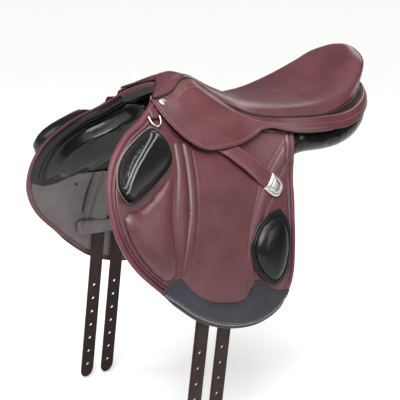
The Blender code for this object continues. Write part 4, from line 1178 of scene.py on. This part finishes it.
def skirt_out(yz):
    """Offset of a skirt's outer face: drawn in at its nailed front corner."""
    near = np.hypot(yz[..., 0] + 188.0, yz[..., 1] - 106.0)
    return SKIRT_OUT + skirt_puff(yz) - 7.5 * smooth(1.0 - near / 48.0)


def skirt_bend():
    """Bend of a skirt over its fold line, square to that line on the side surface."""
    a, b = on_side(np.array(SKIRT_FOLD), SKIRT_OUT)
    down = unit(np.cross(b - a, side_normal(np.array([-111.0, 79.0]))))
    return bend_over("root", "skirt_{side}", (a + b) / 2, down if down[2] < 0 else -down)


def skirts():
    """Skirt leather with its two rows of thread, and a black cord along its lower edge that is painted shadow
    under the lobe.
    """
    upper = even(through(SKIRT_TOP), 260)
    lower = even(through(SKIRT_EDGE[::-1]), 260)
    share = spread(0, 0.006, 0.015, 0.03, 0.05, (0.08, 0.92, 34), 0.95, 0.97, 0.985, 0.994, 1)
    yz = between(upper, lower, share)
    from_top = away(upper[::2], yz)
    drop = edge_fall(np.minimum(from_top, away(lower[::2], yz)), 1.4)
    tuck = 4.5 * smooth(1.0 - from_top / 8.0) * smooth((-yz[..., 0] + 60.0) / 60.0)
    groove = 0.5 * bell((away(lower, yz) - 4.5) / 1.2)
    out = skirt_out(yz)
    points, faces, edge = strip_solid(on_side(yz, out - drop - groove - tuck),
                                      on_side(yz, out - SKIRT_THICK + drop * 0.5 - tuck))
    edge -= set(range(len(faces) - len(share) + 1, len(faces)))
    how = {"bend": skirt_bend(), "slot": "burgundy_leather"}
    obj = new_object("skirt", points, faces, [BURGUNDY, CUT_EDGE], edge)
    pair("skirt", obj, nodes=["skirt_band_{side}", "skirt_lobe_{side}"], **how)
    row = even(through(SKIRT_ROW), 400)
    rows = [stitches(on_side(row, skirt_out(row) + 0.1), side_normal(row))]
    row = inset(np.vstack([upper, lower[::-1]]), 4.5)[262:-2]
    row = row[row[:, 1] < 104]
    rows.append(stitches(on_side(row, skirt_out(row) - 0.3), side_normal(row), 0.42))
    rows_of("skirt_stitches", rows, THREAD, **how)
    # Black cord under the lobe's lower edge: painted shadow.
    under = lower[60:-2] + np.array([0.0, -0.4])
    cord = tube(on_side(under, skirt_out(under) - 5.0), 1.9, side_normal(under))
    rows_of("skirt_lining_edge", [cord], BLACK, bend=how["bend"], slot="black_leather")


# The cantle band runs on an ellipse behind the seat, in steps of k from -BAND_END (right) to BAND_END (left).
BAND_END = 9.0
BAND_WIDE = 126.0
BAND_DEEP = 139.0
BAND_MIDDLE_Y = 100.0
BAND_STEP = 10.1


def band_line(k):
    """Foot of the cantle band at steps k: points, outward directions and top heights."""
    side = np.where(k < 0, -1.0, 1.0)
    a = np.radians(90.0 - np.abs(k) * BAND_STEP)
    out = unit(np.stack([np.cos(a) * side / BAND_WIDE, np.sin(a) / BAND_DEEP, 0 * a], 1))
    base = np.stack([BAND_WIDE * np.cos(a) * side, BAND_MIDDLE_Y + BAND_DEEP * np.sin(a), 0 * a], 1)
    return base, out, 104.0 - 38.5 * smooth(np.abs(k) / BAND_END * 1.05)


def cantle():
    """Leather band round the back of the seat, with its row of thread."""
    k = np.linspace(-9.15, 9.15, 160)
    end = np.abs(k) / BAND_END
    base, out, top = band_line(k)
    low = top - 18.0 - 2.0 * smooth(end)
    flare = 9.0 * smooth((end - 0.55) / 0.45)
    share = np.array([0, 0.03, 0.08, 0.16, 0.3, 0.5, 0.7, 0.84, 0.92, 0.97, 1.0])
    round_off = np.array([1.4, 0.5, 0.1, 0, -0.4, -0.6, -0.4, 0, 0.1, 0.5, 1.4])

    def face(start, grow, sign):
        reach = start + (flare[:, None] + 5.5) * share[None] - sign * round_off[None] * grow
        p = base[:, None] + out[:, None] * reach[..., None]
        p[..., 2] = top[:, None] + (low - top)[:, None] * share[None]
        return p
    points, faces, edge = strip_solid(face(6.0, 1.0, 1.0), face(2.7, 0.4, -1.0))
    edge -= set(range(len(faces) - 2 * len(share) + 2, len(faces)))
    obj = new_object("cantle_band_leather", points, faces, [BURGUNDY, CUT_EDGE], edge)
    attach(obj, "left", "root", nodes=["cantle_band"], slot="burgundy_leather")
    sewn = new_object("cantle_stitches", *stitches(face(6.3, 1.0, 1.0)[:, 5], out), [THREAD])
    attach(sewn, "left", "root", slot="burgundy_leather")


def seat_gap_sheet():
    """Near-black sheet that closes the space between the seat's edge and the skirts and cantle band; its dark
    colour is painted shade for that gap.
    """
    count = 170
    rim = without_repeats(seat_surface()[30:, -1])
    skirt = even(through(SKIRT_TOP), 200)
    skirt = on_side(skirt[skirt[:, 0] > -99], 12.6) - np.array([0, 0, 2.2])
    base, out, top = band_line(np.linspace(BAND_END, 0.0, 60))
    band = base + out * 5.0
    band[:, 2] = top - 2.0
    share = np.linspace(0.0, 1.0, 5)
    sheet = between(even(rim - np.array([0, 0, 3.0]), count), even(np.vstack([skirt, band]), count), share)
    sheet[..., 2] -= 1.6 * np.sin(np.pi * share)[None]
    parts = [strip_solid(sheet * flip, (sheet - [0, 0, 1.2]) * flip)[:2] for flip in (np.ones(3), MIRROR)]
    attach(new_object("seat_gap_painted_shade", *join(parts), [DARK_WELT_AND_SHADE]), "left", "root", slot="burgundy_leather")


ARCH = [(0, -153.5, 121.5), (14, -158, 119.5), (29, -169, 113.5), (41, -180, 107), (50.5, -190, 100.5)]


def facing():
    """Leather round the front arch, its rim that runs on into both flaps, and the black lining behind it."""
    half = through(ARCH)
    path = even(np.vstack([half[:0:-1] * MIRROR, half]), 120)
    run = unit(np.gradient(path, axis=0))
    down = np.array([0.0, 0.35, -1.0])
    down = unit(down - run * (run @ down)[:, None])
    front = np.cross(down, run)
    front *= np.sign(-front[:, 1:2])
    for name, start, end, mat, slot, nodes in (
            ("pommel_facing_leather", 0.0, 5.0, BURGUNDY, "burgundy_leather", ["pommel_facing"]),
            ("pommel_facing_lining", 5.0, 14.5, PANEL_BLACK, "black_leather", [])):
        at = path[:, None] + down[:, None] * np.linspace(start, end, 7)[None, :, None]
        points, faces, _ = strip_solid(at + front[:, None] * 1.2, at - front[:, None] * 1.2)
        attach(new_object(name, points, faces, [mat]), "left", "root", nodes=nodes, slot=slot)
    # Rim cord in the lighter rim leather: painted highlight.
    cord = tube(path + front * 2.0 - down * 0.5, 2.7, front, sides=12)
    attach(new_object("pommel_rim", *cord, [LIT_RIM]), "left", "root", slot="burgundy_leather")
    tunnel = between(path + down * 13.5 - front, path + down * 26.0 + np.array([0.0, 46.0, 0.0]),
                     np.linspace(0, 1, 9))
    points, faces, _ = strip_solid(tunnel, tunnel + down[:, None] * 1.2)
    attach(new_object("arch_lining", points, faces, [PANEL_BLACK]), "left", "root", slot="black_leather")


# ---------------------------------------------------------------- keeper, dees and metal

# Middle of the keeper strap: y, z and height above the side surface.
KEEPER_PATH = [(-104, 44, 3.8), (-98, 34, 4.6), (-90, 28, 8.5), (-78, 17, 10.0), (-66, 6, 10.0), (-54, -6, 8.5),
               (-50, -10, 5.6), (-44, -16, 4.2), (-38, -21.5, 3.0), (-34, -25, 2.4)]
TIP_DEPTHS = (0, 0.5, 1.0, 1.6, 2.4, 3.2, 4, 4.6, 5.2, 6)
KEEPER_ACROSS = np.array([-13, -12.6, -11.6, -10.8, -10, -5, 0, 5, 10, 10.8, 11.6, 12.6, 13])
KEEPER_RELIEF = np.array([0.9, 0.3, 0, 0.35, 0, -0.2, -0.3, -0.2, 0, 0.35, 0, 0.3, 0.9])
TIP_OUTLINE = [(-26, -12), (-16, -20), (-12, -32), (-24, -45), (-36, -44), (-49, -32), (-39, -27), (-32, -20)]


def keeper():
    """Strap that holds the stirrup leather's end, with its rows of thread and its metal tip."""
    path = even(through(np.array(KEEPER_PATH, float)), 60)
    middle = on_side(path[:, :2], path[:, 2])
    run = unit(np.gradient(middle, axis=0))
    n = side_normal(path[:, :2])
    n = unit(n - run * np.sum(n * run, axis=1, keepdims=True))
    wide = np.cross(run, n)
    at = middle[:, None] + wide[:, None] * KEEPER_ACROSS[None, :, None]
    slim = 1.0 - 0.5 * smooth((np.linspace(0, 1, 60) - 0.82) / 0.14)[:, None]
    top = at + n[:, None] * (slim * (1.5 - KEEPER_RELIEF))[..., None]
    low = at - n[:, None] * (slim * (1.5 - np.maximum(KEEPER_RELIEF, 0) * 0.6))[..., None]
    points, faces, edge = strip_solid(top, low)
    obj = new_object("keeper", points, faces, [BURGUNDY, CUT_EDGE], edge)
    pair("keeper_strap_leather", obj, nodes=["keeper_strap_{side}"], slot="burgundy_leather")
    rows = [stitches((middle + wide * s + n * 1.55)[:50], n[:50], 0.42) for s in (-10.8, 10.8)]
    rows_of("keeper_stitches", rows, THREAD, slot="burgundy_leather")
    outline = outline_of(TIP_OUTLINE, [0, 5], 90)

    def dome(yz):
        d = away(outline, yz, closed=True)
        return 1.3 * smooth(d / 5.0) - 0.9 * bell((d - 5.0) / 0.9) + 0.5 * smooth((d - 6.0) / 8.0)
    points, faces, _ = leather_sheet(outline, 3.4, 5.4, dome, TIP_DEPTHS, steps=10, bevel=1.4)
    tip = new_object("tip", points, faces, [STEEL])
    pair("keeper_tip_plate", tip, nodes=["keeper_tip_{side}"], slot="steel")


def side_frame(y, z, out):
    """Place on the left side surface with its normal, rearward and upward directions."""
    yz = np.array([y, z], float)
    n = side_normal(yz)
    along = unit(np.array([side_x(y + 1.0, z) - side_x(y - 1.0, z), 2.0, 0.0]))
    up = np.cross(n, along)
    return on_side(yz, out), n, along, up if up[2] > 0 else -up


NAIL_AT = (-177.0, 102.0)
NAIL_PROFILE = [(5.7, 0.0), (5.7, 0.9), (5.3, 1.7), (4.3, 2.4), (2.9, 2.9), (1.3, 3.15), (0.01, 3.2)]
NAIL_SIDES = 36
DEE_AT = (-199.0, 84.0, 5.5)
# Fold of the leather that holds a dee, seen from its end: distance out of the surface, and height.
CHAPE_FOLD = [(-3.0, 12), (-3.1, 6), (-3.0, -0.5), (-1.7, -2.7), (0, -3.1), (1.7, -2.7), (3.0, -0.5), (3.1, 6),
              (3.0, 12)]
CHAPE_ACROSS = np.array([-6, -5.5, -3, 0, 3, 5.5, 6])
CHAPE_HALF_THICK = 0.75 - np.array([0.45, 0.1, 0, 0, 0, 0.1, 0.45])


def nails():
    """Domed nail heads at the front of the skirts."""
    here, n, along, up = side_frame(*NAIL_AT, skirt_out(np.array(NAIL_AT)) + 0.3)
    a = np.linspace(0, 2 * np.pi, NAIL_SIDES, endpoint=False)
    turn = np.cos(a)[:, None] * along + np.sin(a)[:, None] * up
    rings = np.array([here + n * high + turn * radius for radius, high in NAIL_PROFILE])
    faces = grid_faces(len(NAIL_PROFILE), NAIL_SIDES, wrap=True) + [tuple(range(NAIL_SIDES))]
    nail = new_object("nail", rings.reshape(-1, 3), faces, [STEEL])
    pair("saddle_nail_head", nail, nodes=["saddle_nail_{side}"], slot="steel")


def dees():
    """Dee rings, a straight bar and an arc of wire, each in its folded leather."""
    here, n, along, up = side_frame(*DEE_AT)
    arc = np.linspace(0.12, math.pi - 0.12, 14)
    ring = [(y, 0) for y in (-9, -4.5, 0, 4.5, 9)]
    ring += [(9.0 * math.cos(t), -3.0 - 14.0 * math.sin(t)) for t in arc]
    path = even(through(ring, closed=True), 90, closed=True)
    path = here + path[:, :1] * along + path[:, 1:] * up
    rows_of("dee_ring_wire", [tube(path, 1.5, n, sides=12, closed=True)], STEEL, "dee_{side}",
            nodes=["dee_ring_{side}"], slot="steel")
    fold = even(through(CHAPE_FOLD), 40)
    middle = here + fold[:, :1] * n + fold[:, 1:] * up
    thick = np.cross(unit(np.gradient(middle, axis=0)), along)[:, None] * CHAPE_HALF_THICK[None, :, None]
    at = middle[:, None] + along * CHAPE_ACROSS[None, :, None]
    points, faces, edge = strip_solid(at + thick, at - thick)
    chape = new_object("chape", points, faces, [BURGUNDY, CUT_EDGE], edge)
    pair("dee_chape_leather", chape, nodes=["dee_chape_{side}"], slot="burgundy_leather")


def carried_over():
    """Finishes for the CAD nodes that are shown as they are."""
    finishes = {"seat_foam": FOAM, "tree": WOOD, "head_plate": STEEL, "girth_web": WEBBING, "stirrup_bar": STEEL,
                "bar_catch": STEEL}
    for name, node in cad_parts.items():
        for start, mat in finishes.items():
            if name.startswith(start):
                node.data.materials.clear()
                node.data.materials.append(mat)


# ---------------------------------------------------------------- stage

def aimed(name, data, place, direction):
    """Light or camera at a place, looking along a direction."""
    obj = bpy.data.objects.new(name, data)
    obj.location = place
    obj.rotation_mode = "QUATERNION"
    obj.rotation_quaternion = direction.to_track_quat("-Z", "Y")
    bpy.context.scene.collection.objects.link(obj)
    return obj


# Soft boxes: name, place, what each points at, size and power.
SOFT_BOXES = (("key", (0.95, -0.75, 1.25), (0.0, -0.05, 0.02), (1.0, 0.7), 21.0),
              ("side", (1.8, 0.5, 0.9), (0.0, 0.0, 0.0), (0.4, 1.0), 6.0),
              ("front", (-0.9, -1.7, 1.0), (0.0, -0.1, -0.05), (0.5, 0.9), 7.0),
              ("top", (0.25, -0.25, 1.0), (0.05, -0.1, 0.1), (0.5, 0.5), 4.0),
              ("rear", (-0.8, 1.6, 1.3), (0.0, 0.1, 0.1), (1.2, 0.8), 9.0))
WORLD_STRENGTH = 0.16
FLOOR_HALF = 40.0
FLOOR_GAP = 0.004
FLOOR_GLOW = 0.3
CAMERA_TURN = 57.0
CAMERA_RISE = 15.5
CAMERA_REACH = 1.6
CAMERA_AIM = (0.0, -0.070, -0.082)
CAMERA_LENS = 85.95


def studio():
    """Pale floor, a weak even world, a wide overhead light and the soft boxes."""
    scene = bpy.context.scene
    world = bpy.data.worlds.new("studio")
    world.use_nodes = True
    background = world.node_tree.nodes["Background"]
    background.inputs["Color"].default_value = (1.0, 0.99, 0.985, 1.0)
    background.inputs["Strength"].default_value = WORLD_STRENGTH
    scene.world = world
    lowest = CAD_BOX[0].z - FLOOR_GAP
    mesh = bpy.data.meshes.new("floor")
    corners = ((-1, -1), (1, -1), (1, 1), (-1, 1))
    mesh.from_pydata([(x * FLOOR_HALF, y * FLOOR_HALF, lowest) for x, y in corners], [], [(0, 1, 2, 3)])
    floor = bpy.data.objects.new("floor", mesh)
    scene.collection.objects.link(floor)
    pale = surface("pale_floor", [(0.90, 0.90, 0.89), (0.93, 0.93, 0.92), (0.96, 0.96, 0.95)],
                   rough=(0.85, 0.95), grain=90.0, bump=0.02, pattern="NOISE", specular=0.0)
    shader = pale.node_tree.nodes["Principled BSDF"]
    shader.inputs["Emission Color"].default_value = (1.0, 1.0, 1.0, 1.0)
    shader.inputs["Emission Strength"].default_value = FLOOR_GLOW
    mesh.materials.append(pale)
    sky = bpy.data.lights.new("sky", "SUN")
    sky.energy = 1.9
    sky.angle = math.radians(60.0)
    aimed("sky", sky, (0.0, 0.0, 0.0), Vector((-0.35, 0.35, -1.0)))
    for name, place, target, size, power in SOFT_BOXES:
        box = bpy.data.lights.new(name, "AREA")
        box.shape = "RECTANGLE"
        box.size, box.size_y = size
        box.energy = power
        aimed(name, box, place, Vector(target) - Vector(place))


def camera():
    """Camera at three quarters from the front, on the near side."""
    azimuth, elevation = math.radians(CAMERA_TURN), math.radians(CAMERA_RISE)
    back = Vector((math.sin(azimuth) * math.cos(elevation), -math.cos(azimuth) * math.cos(elevation),
                   math.sin(elevation)))
    lens = bpy.data.cameras.new("camera")
    lens.lens = CAMERA_LENS
    lens.sensor_width = 36.0
    lens.clip_start = 0.05
    lens.clip_end = 50.0
    bpy.context.scene.camera = aimed("camera", lens, Vector(CAMERA_AIM) + back * CAMERA_REACH, -back)
    bpy.context.scene.view_settings.view_transform = "Standard"


panels()
knee_blocks()
calf_blocks()
knee_pads()
flaps()
patches()
lining()
channels()
for place, hinge_y in STRAP_AT.items():
    girth_strap(place, hinge_y)
seat()
seat_gap_sheet()
skirts()
cantle()
facing()
keeper()
nails()
dees()
carried_over()
studio()
camera()
